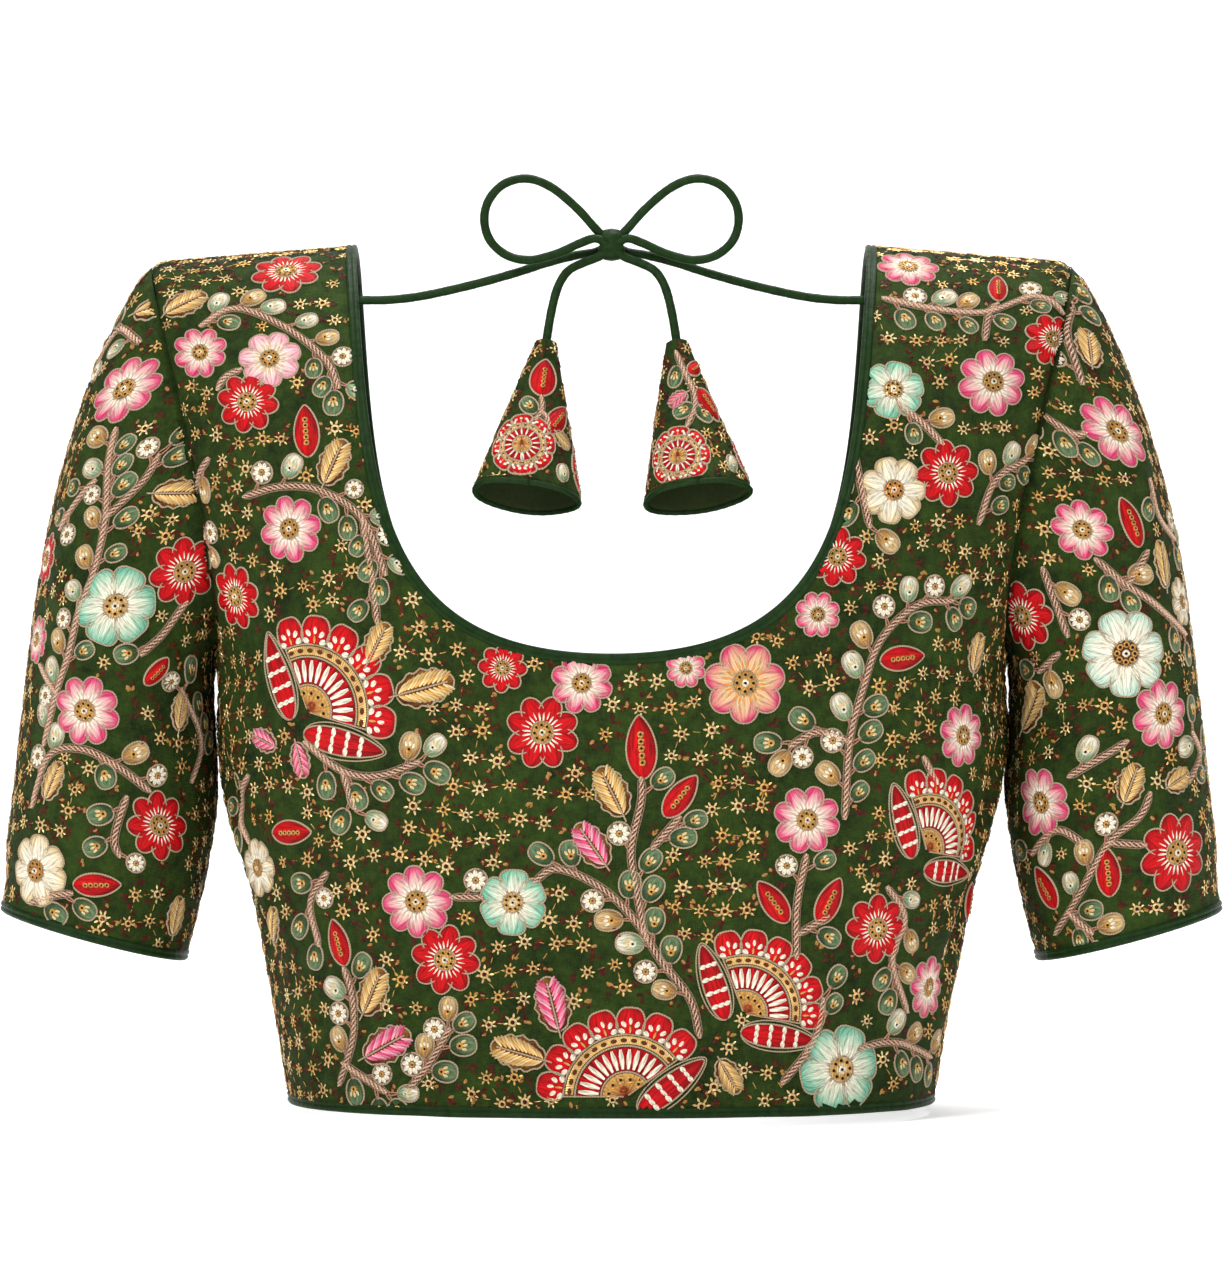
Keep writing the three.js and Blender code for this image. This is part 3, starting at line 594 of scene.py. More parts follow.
def joinGrids(parts):
    # several grids as one: points and uv end to end, faces counted on
    starts = np.cumsum([0] + [len(part[0]) for part in parts[:-1]])
    return (np.concatenate([part[0] for part in parts]),
            np.concatenate([part[1] + start for part, start in zip(parts, starts)]),
            np.concatenate([part[2] for part in parts]))


def areaOf(piece):
    return sum(face.area for face in piece.data.polygons)


def makeBodyPanels():
    made = {}
    halves = {"back": [(-1, 1, 0), (-1, -1, 0)], "front_right": [(1, 1, 0.4)], "front_left": [(1, -1, 0.4)]}
    for name, parts in halves.items():
        points, faces, uv = joinGrids([halfPanel(*part) for part in parts])
        cloth = makeMesh(f"{name}_cloth", points, faces, [groundCloth, innerCloth], uv=uv, weld=0.01)
        print(f"{name}: {areaOf(cloth):.4f} m2")
        addWall(cloth, body["wall"])
        made[name] = place(cloth, "embroidered_cloth", name)
    return made


cloths = makeBodyPanels()

# the sleeves
# allowance: the sleeve's raw edge turned in behind the body, as places past the armhole and below it
sleeveShape = {"capShare": 7 / 13, "gap": 0.6, "rows": 64, "sides": 84, "reach": 0.36, "length": 205,
               "allowance": [(-3.0, 5.0), (0.5, 4.8)]}
sleeveRings = [
    {"at": 0, "outX": 247.2, "outZ": -180, "inX": 168.7, "inZ": -191, "depth": 108},
    {"at": 1, "outX": 251.6, "outZ": -219, "inX": 167.2, "inZ": -231, "depth": 103},
    {"at": 2, "outX": 255.2, "outZ": -252, "inX": 171.6, "inZ": -265, "depth": 95},
    {"at": 3, "outX": 257.7, "outZ": -281.2, "inX": 180.6, "inZ": -302.4, "depth": 86},
]


def armholeRing():
    # the armhole from the shoulder down the back and up the front, with its normals, its way on past the
    # edge, and an angle that runs evenly along each half
    t = np.linspace(0, 1, 120)
    line = bezier(edges["armhole"], 0.5 - 0.5 * np.cos(np.pi * t))
    turn = turnAt(line[:, 0], line[:, 1])
    turn[-1] = np.pi / 2
    points, normals = [], []
    for side, order in ((-1, slice(None, -1)), (1, slice(None, 0, -1))):
        point = bodyShape(side, turn, line[:, 1])
        normal = bodyNormal(side, turn, np.maximum(line[:, 1], 0.02))
        for end in (0, -1):
            point[end, 1] = 0
            normal[end, 1] = 0
        points.append(point[order])
        normals.append(unit(normal)[order])
    half = len(points[0])
    points, normals = np.concatenate(points), np.concatenate(normals)
    gone = along(np.vstack([points, points[:1]]))
    angle = np.where(np.arange(len(points)) < half, gone[:-1] / gone[half],
                     1 + (gone[:-1] - gone[half]) / (gone[-1] - gone[half])) * np.pi
    ahead = unit(np.roll(points, -1, 0) - np.roll(points, 1, 0))
    return angle, points, normals, unit(np.cross(normals, ahead))


armhole = armholeRing()


def armholeAt(angle):
    # the armhole's place, normal and way past the edge, read between its stations
    known, points, normals, past = armhole
    wrapped, around = np.mod(angle, 2 * np.pi), np.append(known, 2 * np.pi)
    return [np.stack([np.interp(wrapped, around, np.append(v[:, k], v[0, k])) for k in range(3)], -1)
            for v in (points, normals, past)]


def ringPoint(level, angle):
    # an oval across the arm: angle 0 at its outer side, 90 degrees at the back
    level, angle = np.broadcast_arrays(np.asarray(level, float), np.asarray(angle, float))
    read = {name: readTable(sleeveRings, name, level, "at") for name in ("outX", "outZ", "inX", "inZ", "depth")}
    swing = np.cos(angle) / 2
    x = (read["outX"] + read["inX"]) / 2 + (read["outX"] - read["inX"]) * swing
    z = (read["outZ"] + read["inZ"]) / 2 + (read["outZ"] - read["inZ"]) * swing
    return np.stack([x, -np.sin(angle) * read["depth"] / 2, z], -1)


def sleeveForm(angle, share):
    # from the armhole by a cubic Bezier into the first ring, then on through the rings to the cuff
    angle, share = np.broadcast_arrays(np.asarray(angle, float), np.asarray(share, float))
    edge, normal, past = armholeAt(angle)
    start = edge + unit(normal + past) * sleeveShape["gap"]
    cap = sleeveShape["capShare"]
    over, under = np.maximum(np.cos(angle), 0) ** 2, np.maximum(-np.cos(angle), 0) ** 2
    beside, back = np.sin(angle) ** 2, np.sign(np.sin(angle))
    leave = np.stack([0.53 * over + 0.85 * beside + 0.02 * under, -0.1 * back * beside,
                      -0.85 * over - 0.55 * beside - under], -1)
    target = ringPoint(0, angle)
    arrive = unit(ringPoint(0.1, angle) - target)
    reach = np.linalg.norm(target - start, axis=-1, keepdims=True) * sleeveShape["reach"]
    t = np.clip(share / cap, 0, 1)[..., None]
    early = ((1 - t) ** 3 * start + 3 * (1 - t) ** 2 * t * (start + unit(leave) * reach)
             + 3 * (1 - t) * t * t * (target - arrive * reach) + t ** 3 * target)
    late = ringPoint(3 * np.clip((share - cap) / (1 - cap), 0, 1), angle)
    return np.where(share[..., None] > cap, late, early)


def gridNormals(points, out):
    # normals of a grid from its own rows and columns, turned to point the way out is given
    normal = unit(np.cross(np.gradient(points, axis=1), np.gradient(points, axis=0)))
    flip = np.sign(np.sum(normal * out, -1, keepdims=True))
    return normal * np.where(flip == 0, 1, flip)


def sleeveSurface(angle, share, name):
    # the form with its creases, dipped at the armhole with the body's edge; angle and share are full grids
    points = sleeveForm(angle, share)
    middle = points.mean(1, keepdims=True)
    normal = gridNormals(points, points - middle)
    length = share * sleeveShape["length"]
    height = creaseHeight(angle * 46, length, creases[f"{name} sleeve"])
    gap = length * 0.8
    height = height * np.clip(gap / 10, 0, 1) * np.clip((sleeveShape["length"] - length) / 12, 0, 1)
    dip = body["seamDip"] * np.exp(-(gap / body["seamReach"]) ** 2)
    return points + normal * height[..., None] - armholeAt(angle)[1] * dip[..., None]


def makeSleeves():
    made = {}
    for name, sign in (("right", 1), ("left", -1)):
        angle, share = np.meshgrid(np.linspace(-np.pi, np.pi, sleeveShape["sides"] + 1),
                                   np.linspace(0, 0.993, sleeveShape["rows"] + 1))
        points = sleeveSurface(angle, share, name)
        edge, normal, past = armholeAt(angle[0])
        turning = [edge + past * side - normal * deep for side, deep in sleeveShape["allowance"]]
        points = np.concatenate([np.array(turning), points]) * np.array([sign, 1, 1])
        lengths = np.concatenate([[-6.0, -3.0], share[:, 0] * sleeveShape["length"]])
        uv = np.stack(np.broadcast_arrays(angle[:1] * 48, lengths[:, None]), -1)
        faces = gridFaces(*points.shape[:2])
        if sign < 0:
            faces = faces[:, ::-1]
        cloth = makeMesh(f"sleeve_{name}_cloth", points, faces, [groundCloth, innerCloth], uv=uv, weld=0.01)
        print(f"sleeve {name}: {areaOf(cloth):.4f} m2")
        addWall(cloth, body["wall"])
        made[f"sleeve_{name}"] = place(cloth, "embroidered_cloth", f"sleeve_{name}")
    return made


cloths.update(makeSleeves())
print("cloth panels made")

# bias bindings: a folded strip over each raw edge, ridged by its stitching
binding = {"width": 4.6, "pucker": 0.1}
bindingSection = np.array([
    (0.0, -0.75), (0.12, 0.1), (0.6, 0.62), (1.25, 0.85), (1.9, 0.72), (2.35, 0.2), (2.8, 0.72), (3.5, 0.85),
    (4.2, 0.62), (4.6, 0.0), (4.6, -1.5), (4.2, -2.1), (3.5, -2.35), (2.4, -2.3), (1.25, -2.35), (0.6, -2.12),
    (0.12, -1.6),
])


def bindEdge(name, points, into, normal, roundUp, *nodes):
    # the section carried along the stations: into the cloth and out along the normal
    gone = along(np.vstack([points, points[:1]]) if roundUp else points)
    at = gone[:len(points)]
    ripple = 1 + binding["pucker"] * np.sin(at * 2.1) * np.sin(at * 0.19 + 1) * 0.5
    rise = bindingSection[None, :, 1] + 0.75
    up = rise * ripple[:, None] - 0.75
    grid = points[:, None] + into[:, None] * bindingSection[None, :, 0, None] + normal[:, None] * up[..., None]
    girth = along(np.vstack([bindingSection, bindingSection[:1]]))[:-1]
    uv = np.stack(np.broadcast_arrays(at[:, None], girth[None, :]), -1)
    if not roundUp:
        ends = [np.broadcast_to(row.mean(0), row.shape)[None] for row in (grid[0], grid[-1])]
        grid = np.concatenate([ends[0], grid, ends[1]])
        uv = np.concatenate([uv[:1], uv, uv[-1:]])
    faces = gridFaces(len(grid), grid.shape[1], roundRows=roundUp, roundColumns=True)
    piece = makeMesh(name, grid, faces, [satinBinding], uv=uv, weld=0.0005, closed=True)
    return place(piece, "satin_binding", *nodes)


def makeNeckBinding():
    # quarters from the centre to the shoulder, each station with the way into the cloth
    t = np.linspace(1, 0, 150)
    quarters = []
    for side, sign, backwards in ((1, 1, False), (-1, 1, True), (-1, -1, False), (1, -1, True)):
        x, drop = neckEdge(side, t)
        innerX, innerDrop = neckEdge(side, t, binding["width"])
        turn = turnAt(x, drop)
        point, normal = bodySurface(side, turn * sign, drop), bodyNormal(side, turn, np.maximum(drop, 0.02))
        inner = bodySurface(side, turnAt(innerX, innerDrop) * sign, innerDrop)
        normal[:, 0] *= sign
        normal[-1, 1] = 0
        point[-1, 1] = 0
        normal = unit(normal)
        into = inner - point
        into = unit(into - normal * np.sum(into * normal, -1, keepdims=True))
        rows = [v[::-1] if backwards else v for v in (point, into, normal)]
        quarters.append([v[1:] if len(quarters) in (1, 2, 3) else v for v in rows])
    point, into, normal = [np.concatenate([quarter[k] for quarter in quarters]) for k in range(3)]
    point[0, 0], point[-1, 0] = 0.4, -0.4
    return bindEdge("neck_binding_satin", point, into, normal, False, "neck_binding")


def makeHemBinding():
    first = float(turnAt(np.array(0.4), body["hem"]))
    turn = np.linspace(first, np.pi / 2, 70)
    point, normal = [], []
    quarters = ((1, 1, slice(None)), (-1, 1, slice(-2, None, -1)),
                (-1, -1, slice(1, None)), (1, -1, slice(-2, None, -1)))
    for side, sign, order in quarters:
        edge = bodySurface(side, turn * sign, np.full(turn.shape, body["hem"]))
        out = bodyNormal(side, turn * sign, np.full(turn.shape, body["hem"] - 1))
        out[:, 2] = 0
        edge[-1, 1] = 0
        out[-1, 1] = 0
        point.append(edge[order])
        normal.append(unit(out)[order])
    point, normal = np.concatenate(point), np.concatenate(normal)
    into = np.broadcast_to(np.array([0, 0, 1.0]), point.shape)
    return bindEdge("hem_binding_satin", point, into, normal, False, "hem_binding")


def makeCuffBindings():
    made = []
    angle = roundTurn(120)
    for name, sign in (("right", 1), ("left", -1)):
        point = ringPoint(3, angle)
        into = unit(ringPoint(2.95, angle) - point)
        around = ringPoint(3, angle + 0.01) - ringPoint(3, angle - 0.01)
        normal = unit(np.cross(around, into))
        normal = normal * np.sign(np.sum(normal * (point - point.mean(0)), -1, keepdims=True))
        flip = np.array([sign, 1, 1])
        made.append(bindEdge(f"cuff_binding_{name}_satin", point * flip, into * flip, normal * flip, True,
                             f"cuff_binding_{name}"))
    return made


makeNeckBinding()
makeHemBinding()
cuffBindings = makeCuffBindings()
print("bindings made")

# the front's hook strip and hooks
closing = {"half": 11, "wall": 1.2, "setBack": 4.4, "top": 183.6, "bottom": 354, "hooks": 6, "hookX": 5.4,
           "first": 188, "last": 345.6, "behind": 2.9, "ring": 2.5, "wire": 0.72}


def makeClosing():
    # the strip: the front's surface set back behind it, from x = -half to half
    x, drop = np.meshgrid(np.linspace(-closing["half"], closing["half"], 9),
                          np.linspace(closing["bottom"], closing["top"], 60))
    turn = turnAt(x, drop)
    points = bodyShape(1, turn, drop) - bodyNormal(1, turn, drop) * closing["setBack"]
    faces = gridFaces(*x.shape)[:, ::-1]
    uv = np.stack([x, drop], -1)
    strip = makeMesh("hook_strip", points, faces, [innerCloth, innerCloth], uv=uv)
    addWall(strip, closing["wall"])
    place(strip, "inner_cloth", "hook_placket")
    # each hook: a flat ring of wire behind the front's edge
    drops = np.linspace(closing["first"], closing["last"], closing["hooks"])
    angle = np.linspace(0, 2 * np.pi, 19)
    parts = []
    for depth in drops:
        turn = turnAt(np.array(closing["hookX"]), depth)
        out = bodyNormal(1, turn, depth)
        centre = bodyShape(1, turn, depth) - out * closing["behind"]
        right = unit(np.cross(out, (0, 0, 1)))
        up = np.cross(right, out)
        ring = centre + closing["ring"] * (np.cos(angle)[:, None] * right + np.sin(angle)[:, None] * up)
        around = roundTurn(8)
        outward = unit(ring - centre)
        tube = ring[:, None] + closing["wire"] * (outward[:, None] * np.cos(around)[None, :, None]
                                                  + out * np.sin(around)[None, :, None] * 0.7)
        parts.append((tube.reshape(-1, 3), gridFaces(19, 8, roundColumns=True),
                      np.zeros((tube.shape[0] * tube.shape[1], 2))))
    points, faces, uv = joinGrids(parts)
    hooks = makeMesh("closing_hooks", points, faces, [hookMetal], uv=uv, weld=0.001, closed=True)
    place(hooks, "hook_metal", *[f"hook_{i + 1}" for i in range(closing["hooks"])])
    return strip, hooks


hookStrip, hooks = makeClosing()


# latkans: hollow cones of cloth with a bound mouth
def coneFrame(sign):
    # where the cone's tip sits, and the three directions of its own frame
    axis = latkanAxis(sign)
    tip = np.array(dori["tail"][-1]) * np.array([-sign, 1, 1]) + axis * 0.6
    toward = np.array([0, -1.0, 0])
    toward = unit(toward - axis * toward.dot(axis))
    return tip, axis, toward, np.cross(axis, toward)


def conePoint(sign, angle, length, lift=0.0):
    # round the axis at a radius growing evenly down the cone, with slow waves; angle 0 faces the back
    angle, length = np.broadcast_arrays(np.asarray(angle, float), np.asarray(length, float))
    tip, axis, toward, beside = coneFrame(sign)
    share = length / latkan["length"]
    radius = latkan["tip"] + (latkan["mouth"] - latkan["tip"]) * share
    radius = radius * (1 + 0.018 * share * np.sin(3 * angle + sign) + 0.012 * np.sin(5 * angle + share * 4)) + lift
    ring = toward * np.cos(angle)[..., None] + beside * np.sin(angle)[..., None]
    return tip + axis * length[..., None] + ring * radius[..., None]


def makeLatkans():
    made = {}
    for name, sign in (("left", -1), ("right", 1)):
        angle = roundTurn(latkan["sides"])[None, :]
        length = np.concatenate([[0, 0, 0.5], np.linspace(1.6, latkan["clothEnd"], 30)])[:, None]
        points = conePoint(sign, angle, length)
        tip = points[0].mean(0)
        points[0] = tip + latkanAxis(sign) * 0.3
        points[1] = tip + (points[1] - tip) * 0.82
        uv = np.stack(np.broadcast_arrays(angle * 14, length), -1)
        faces = gridFaces(*points.shape[:2], roundColumns=True)
        cone = makeMesh(f"latkan_{name}_cloth", points, faces, [groundCloth, innerCloth], uv=uv, weld=0.001)
        addWall(cone, body["wall"])
        place(cone, "embroidered_cloth", f"latkan_{name}")
        # the rim: a round binding whose section swells and shrinks a little as it goes round
        around, rimAngle = roundTurn(latkan["rimSides"]), roundTurn(latkan["rimStations"])[:, None]
        rimAt = latkan["length"] - latkan["rimUp"]
        centre = conePoint(sign, rimAngle, rimAt, -latkan["rimIn"])
        outward = unit(conePoint(sign, rimAngle, rimAt, 5) - centre)
        thick = latkan["rimRadius"] * (1 + 0.05 * np.sin(rimAngle * 31))
        ring = (centre + outward * (thick * np.cos(around))[..., None]
                + latkanAxis(sign) * (thick * np.sin(around))[..., None])
        uv = np.stack(np.broadcast_arrays(rimAngle * 22, around[None, :] * 1.5), -1)
        rimPiece = makeMesh(f"latkan_{name}_binding", ring, gridFaces(*ring.shape[:2], True, True), [satinBinding],
                            uv=uv, weld=0.0005, closed=True)
        place(rimPiece, "satin_binding", f"latkan_rim_{name}")
        made[name] = (cone, rimPiece)
    return made


latkans = makeLatkans()
print("latkans made")

# flat sheets: each panel opened out, so that embroidery is laid out flat and then carried on to it
flat = {"step": 2.0, "bindingClear": 3.4, "seamClear": 0.5}


class Sheet:
    # A panel opened flat: places and normals on a grid of s to the right and t upwards, and how far
    # each place is inside the panel's edges.
    def __init__(self, points, s, t, border, inside):
        self.s0, self.t0, self.step = s[0], t[0], flat["step"]
        self.points = points
        across, up = np.gradient(points, axis=1), np.gradient(points, axis=0)
        self.normals = unit(np.cross(across, up))
        grid = np.stack(np.meshgrid(s, t), -1)
        away = np.full(grid.shape[:2], 1e3)
        for at in range(0, len(border), 40):
            some = border[at:at + 40]
            gap = np.hypot(grid[..., 0, None] - some[:, 0], grid[..., 1, None] - some[:, 1]) - some[:, 2]
            away = np.minimum(away, gap.min(-1))
        self.inside = np.where(inside, away, -1.0)
        self.grid = grid

    def read(self, table, s, t):
        # the table's value between its four nearest grid points
        rows, columns = self.inside.shape
        i = np.clip((s - self.s0) / self.step, 0, columns - 1.001)
        j = np.clip((t - self.t0) / self.step, 0, rows - 1.001)
        i0, j0 = i.astype(int), j.astype(int)
        fi, fj = i - i0, j - j0
        if table.ndim == 3:
            fi, fj = fi[..., None], fj[..., None]
        return ((table[j0, i0] * (1 - fi) + table[j0, i0 + 1] * fi) * (1 - fj)
                + (table[j0 + 1, i0] * (1 - fi) + table[j0 + 1, i0 + 1] * fi) * fj)

    def find(self, x, down, side):
        # the flat place that lies at a distance across and down, on the side asked for
        gap = (self.points[..., 0] - x) ** 2 + (self.points[..., 2] + down) ** 2
        gap = gap + np.where(self.normals[..., 1] * side > -0.2, 0, 1e5)
        return self.grid[np.unravel_index(np.argmin(gap), gap.shape)]


def rowArcs(rows):
    # distance gone along each row of points, counted from the row's middle
    gone = np.cumsum(np.linalg.norm(np.diff(rows, axis=1), axis=-1), 1)
    arc = np.concatenate([np.zeros((len(rows), 1)), gone], 1)
    middle = rows.shape[1] // 2
    return arc - arc[:, middle:middle + 1]


def spread(rowPoints, rowArc, sign):
    # rows of points with their distances along, read again at even distances
    reach = math.ceil(np.abs(rowArc).max() / flat["step"]) * flat["step"]
    s = np.arange(-reach, reach + 0.1, flat["step"])
    table = np.empty((len(rowPoints), len(s), 3))
    for row, (points, arc) in enumerate(zip(rowPoints, rowArc)):
        order = slice(None) if sign > 0 else slice(None, None, -1)
        for k in range(3):
            table[row, :, k] = np.interp(s, sign * arc[order], points[order, k])
    return s, table


def bodySheet(side, half=0):
    # rows of equal drop, measured down the shoulder blade; half keeps one front only
    fineDrop = body["hem"] * np.linspace(0, 1, 900) ** 2
    fineDown = along(bodyShape(side, np.full(900, 0.6), fineDrop))
    down = np.arange(0, fineDown[-1] + flat["step"], flat["step"])
    drop = np.interp(down, fineDown, fineDrop)
    turn = np.linspace(-np.pi / 2, np.pi / 2, 361)
    rows = bodySurface(side, turn[None, :], drop[:, None])
    bare = bodyShape(side, turn[None, :], drop[:, None])
    arc = rowArcs(bare)
    s, table = spread(rows, arc, -side)
    x = np.abs(table[..., 0])
    neckLine = np.stack(neckEdge(side, np.linspace(0, 1, 160)), -1)
    armLine = bezier(edges["armhole"], np.linspace(0, 1, 120))
    neckX = np.interp(drop, neckLine[:, 1], neckLine[:, 0])
    neckX = np.where(drop < neckLine[-1, 1], neckX, -1)[:, None]
    armX = np.where(drop < body["armhole"], armholeX(drop), 999)[:, None]
    wide = np.abs(arc).max(1)[:, None]
    inside = (x > neckX) & (x < armX) & (np.abs(s)[None, :] < wide)
    if half:
        inside &= table[..., 0] * half > 0.9
    borders = []
    for line, clear in ((neckLine, flat["bindingClear"]), (armLine, flat["seamClear"])):
        lineDown = np.interp(line[:, 1], fineDrop, fineDown)
        row = np.clip(np.searchsorted(down, lineDown), 0, len(down) - 1)
        angle = turnAt(line[:, 0], line[:, 1])
        reach = np.array([np.interp(a, turn, arc[r]) for a, r in zip(angle, row)])
        for flip in (-1, 1):
            borders.append(np.stack([reach * flip, -lineDown, np.full(len(row), clear)], -1))
    low = np.arange(-wide[-1, 0], wide[-1, 0], 3)
    borders.append(np.stack([low, np.full(len(low), -fineDown[-1]), np.full(len(low), flat["bindingClear"])], -1))
    return Sheet(table[::-1], s, -down[::-1], np.concatenate(borders), inside[::-1])


def sleeveSheet(name, sign):
    # rows at equal distances along the arm, each read round from the outer line
    angle, share = np.meshgrid(np.linspace(-np.pi, np.pi, 361), np.linspace(0, 1, 200))
    points = sleeveSurface(angle, share, name)
    axis = unit(np.array([0.06, 0, -1.0]))
    reach = points @ axis
    down = np.arange(reach.min(), reach.max() + flat["step"], flat["step"])
    rows = np.empty((len(down), 361, 3))
    cloth = np.empty((len(down), 361), bool)
    for column in range(361):
        gone = np.maximum.accumulate(reach[:, column] + np.arange(200) * 1e-5)
        for k in range(3):
            rows[:, column, k] = np.interp(down, gone, points[:, column, k])
        cloth[:, column] = (down > gone[0]) & (down < gone[-1])
    arc = rowArcs(rows)
    down = down - down[0]
    s, table = spread(rows, arc, -1)
    held = np.stack([np.interp(s, -arc[r][::-1], cloth[r][::-1].astype(float)) for r in range(len(down))])
    wide = np.abs(arc).max(1)[:, None]
    inside = (held > 0.5) & (np.abs(s)[None, :] < wide - 0.6)
    borders = []
    for end, clear in ((0, flat["seamClear"]), (-1, flat["bindingClear"])):
        lineDown = reach[end] - reach.min()
        row = np.clip((lineDown / flat["step"]).astype(int), 0, len(down) - 1)
        at = -arc[row, np.arange(361)]
        borders.append(np.stack([at, -lineDown, np.full(361, clear)], -1))
    if sign < 0:
        table, inside, s = table[:, ::-1] * np.array([-1, 1, 1]), inside[:, ::-1], -s[::-1]
        for border in borders:
            border[:, 0] *= -1
    return Sheet(table[::-1], s, -down[::-1], np.concatenate(borders), inside[::-1])


def coneSheet(sign):
    # rows down the cone, each read round from the side that faces back
    angle, length = np.linspace(-np.pi, np.pi, 181), np.arange(0.6, 66.6, flat["step"])
    rows = conePoint(sign, angle[None, :], length[:, None])
    arc = rowArcs(rows)
    s, table = spread(rows, arc, -1)
    wide = np.abs(arc).max(1)[:, None]
    inside = np.abs(s)[None, :] < wide - 0.2
    low = np.arange(-80, 80, 3.0)
    border = np.stack([low, np.full(len(low), -66.6), np.full(len(low), 0.0)], -1)
    return Sheet(table[::-1], s, -length[::-1], border, inside[::-1])


# threads
threads = {
    "red": (196, 8, 16), "deepRed": (104, 4, 8), "rose": (212, 66, 112), "blush": (232, 160, 172),
    "white": (232, 222, 200), "cream": (220, 192, 138), "gold": (204, 156, 84), "brass": (150, 104, 46),
    "amber": (226, 142, 66), "mint": (118, 182, 152), "paleMint": (190, 218, 198), "moss": (50, 72, 40),
    "sage": (122, 148, 108), "cord": (166, 144, 116), "cordDark": (124, 102, 80), "vine": (168, 120, 96),
    # the vine's pale colour is a painted highlight on each strand where it rides over the others
    "vinePaintedHighlight": (216, 178, 148), "maroon": (58, 16, 8), "brown": (92, 46, 18), "black": (26, 14, 8),
    "rust": (150, 62, 28),
}
thread = {name: colour(*shade) for name, shade in threads.items()}
dice = np.random.default_rng(11)


def mixed(low, high, share):
    # from one thread's colour to another's by a share from 0 to 1
    share = np.clip(np.asarray(share, float), 0, 1)[..., None]
    return thread[low] * (1 - share) + thread[high] * share


def polar(radius, degrees):
    # how far across and up a place lies, at a radius and an angle clockwise from upwards
    a = np.radians(degrees)
    return radius * np.sin(a), radius * np.cos(a)


def lot(kind, x, y, height, tint, lie=None, faces=None):
    # one run of stitches: places and heights on its own grid, with a colour and a lie for each
    points = np.stack(np.broadcast_arrays(x, y, height), -1).astype(float)
    lie = points[..., :2] if lie is None else np.stack(np.broadcast_arrays(*lie), -1)
    if faces is None:
        faces = gridFaces(*points.shape[:2])
    tint = np.broadcast_to(tint, points.shape).reshape(-1, 3)
    return [(kind, points.reshape(-1, 3), faces, tint, lie.reshape(-1, 2))]


def turned(lots, angle=0.0, dx=0.0, dy=0.0, scale=1.0):
    # the lots grown by the scale, turned clockwise by the angle and moved
    a = math.radians(angle)
    made = []
    for kind, points, faces, tint, lie in lots:
        x, y = points[:, 0] * scale, points[:, 1] * scale
        moved = np.stack([x * math.cos(a) + y * math.sin(a) + dx, y * math.cos(a) - x * math.sin(a) + dy,
                          points[:, 2]], -1)
        made.append((kind, moved, faces, tint, lie * scale))
    return made


def swell(r, start, tip):
    # a bulge r^start (1-r)^tip, scaled so that its widest place is 1
    peak = start / (start + tip)
    return r ** start * (1 - r) ** tip / (peak ** start * (1 - peak) ** tip)


def petal(length, width, start, tip, shade, lift=0.6, rows=9, columns=5, wave=0.0, waves=5):
    # floss laid from the base outwards, as wide as the bulge and rounded across
    r = (0.5 - 0.5 * np.cos(np.pi * np.linspace(0.03, 0.97, rows)))[:, None]
    v = np.linspace(-1, 1, columns)[None, :]
    half = width / 2 * swell(r, start, tip) * (1 + wave * np.sin(r * waves * 2 * np.pi))
    height = 0.1 + lift * np.sqrt(np.maximum(1 - v * v, 0)) * (4 * r * (1 - r)) ** 0.4
    return lot("floss", half * v, length * r, height, shade(r, v), (v * width / 2, length * r + 0 * v))


def rim(length, width, start, tip, grow=0.15, count=13, wave=0.0, waves=5):
    # the petal's edge from its base up one side to the tip and down the other
    r = 0.5 - 0.5 * np.cos(np.pi * np.linspace(0.0, 1.0, count))
    bulge = swell(np.clip(r, 1e-3, 1 - 1e-3), start, tip)
    half = width / 2 * bulge * (1 + wave * np.sin(r * waves * 2 * np.pi)) + grow
    half[0] = half[-1] = 0
    left, right = np.stack([-half, length * r], -1), np.stack([half, length * r], -1)
    return np.vstack([left, right[-2:0:-1]])


def couched(line, width=0.75, height=0.5, shade="cord", closed=False, kind="cord", lift=0.0):
    # a cord laid along a line: a low arch of three faces at each step
    line = np.asarray(line, float)
    if closed:
        ahead = unit(np.roll(line, -1, 0) - np.roll(line, 1, 0))
    else:
        ahead = unit(np.gradient(line, axis=0))
    side = np.stack([ahead[:, 1], -ahead[:, 0]], -1)
    offset = np.array([-0.5, -0.22, 0.22, 0.5])[None, :, None] * width
    laid = line[:, None] + side[:, None] * offset
    rise = np.array([[0.0, 1, 1, 0]]) * height + lift + 0.05
    gone = along(line)[:, None]
    faces = gridFaces(len(line), 4, roundRows=closed)
    tint = thread[shade] if isinstance(shade, str) else shade
    return lot(kind, laid[..., 0], laid[..., 1], rise, tint,
               (gone, np.linspace(0, 1, 4)[None, :] * width), faces)


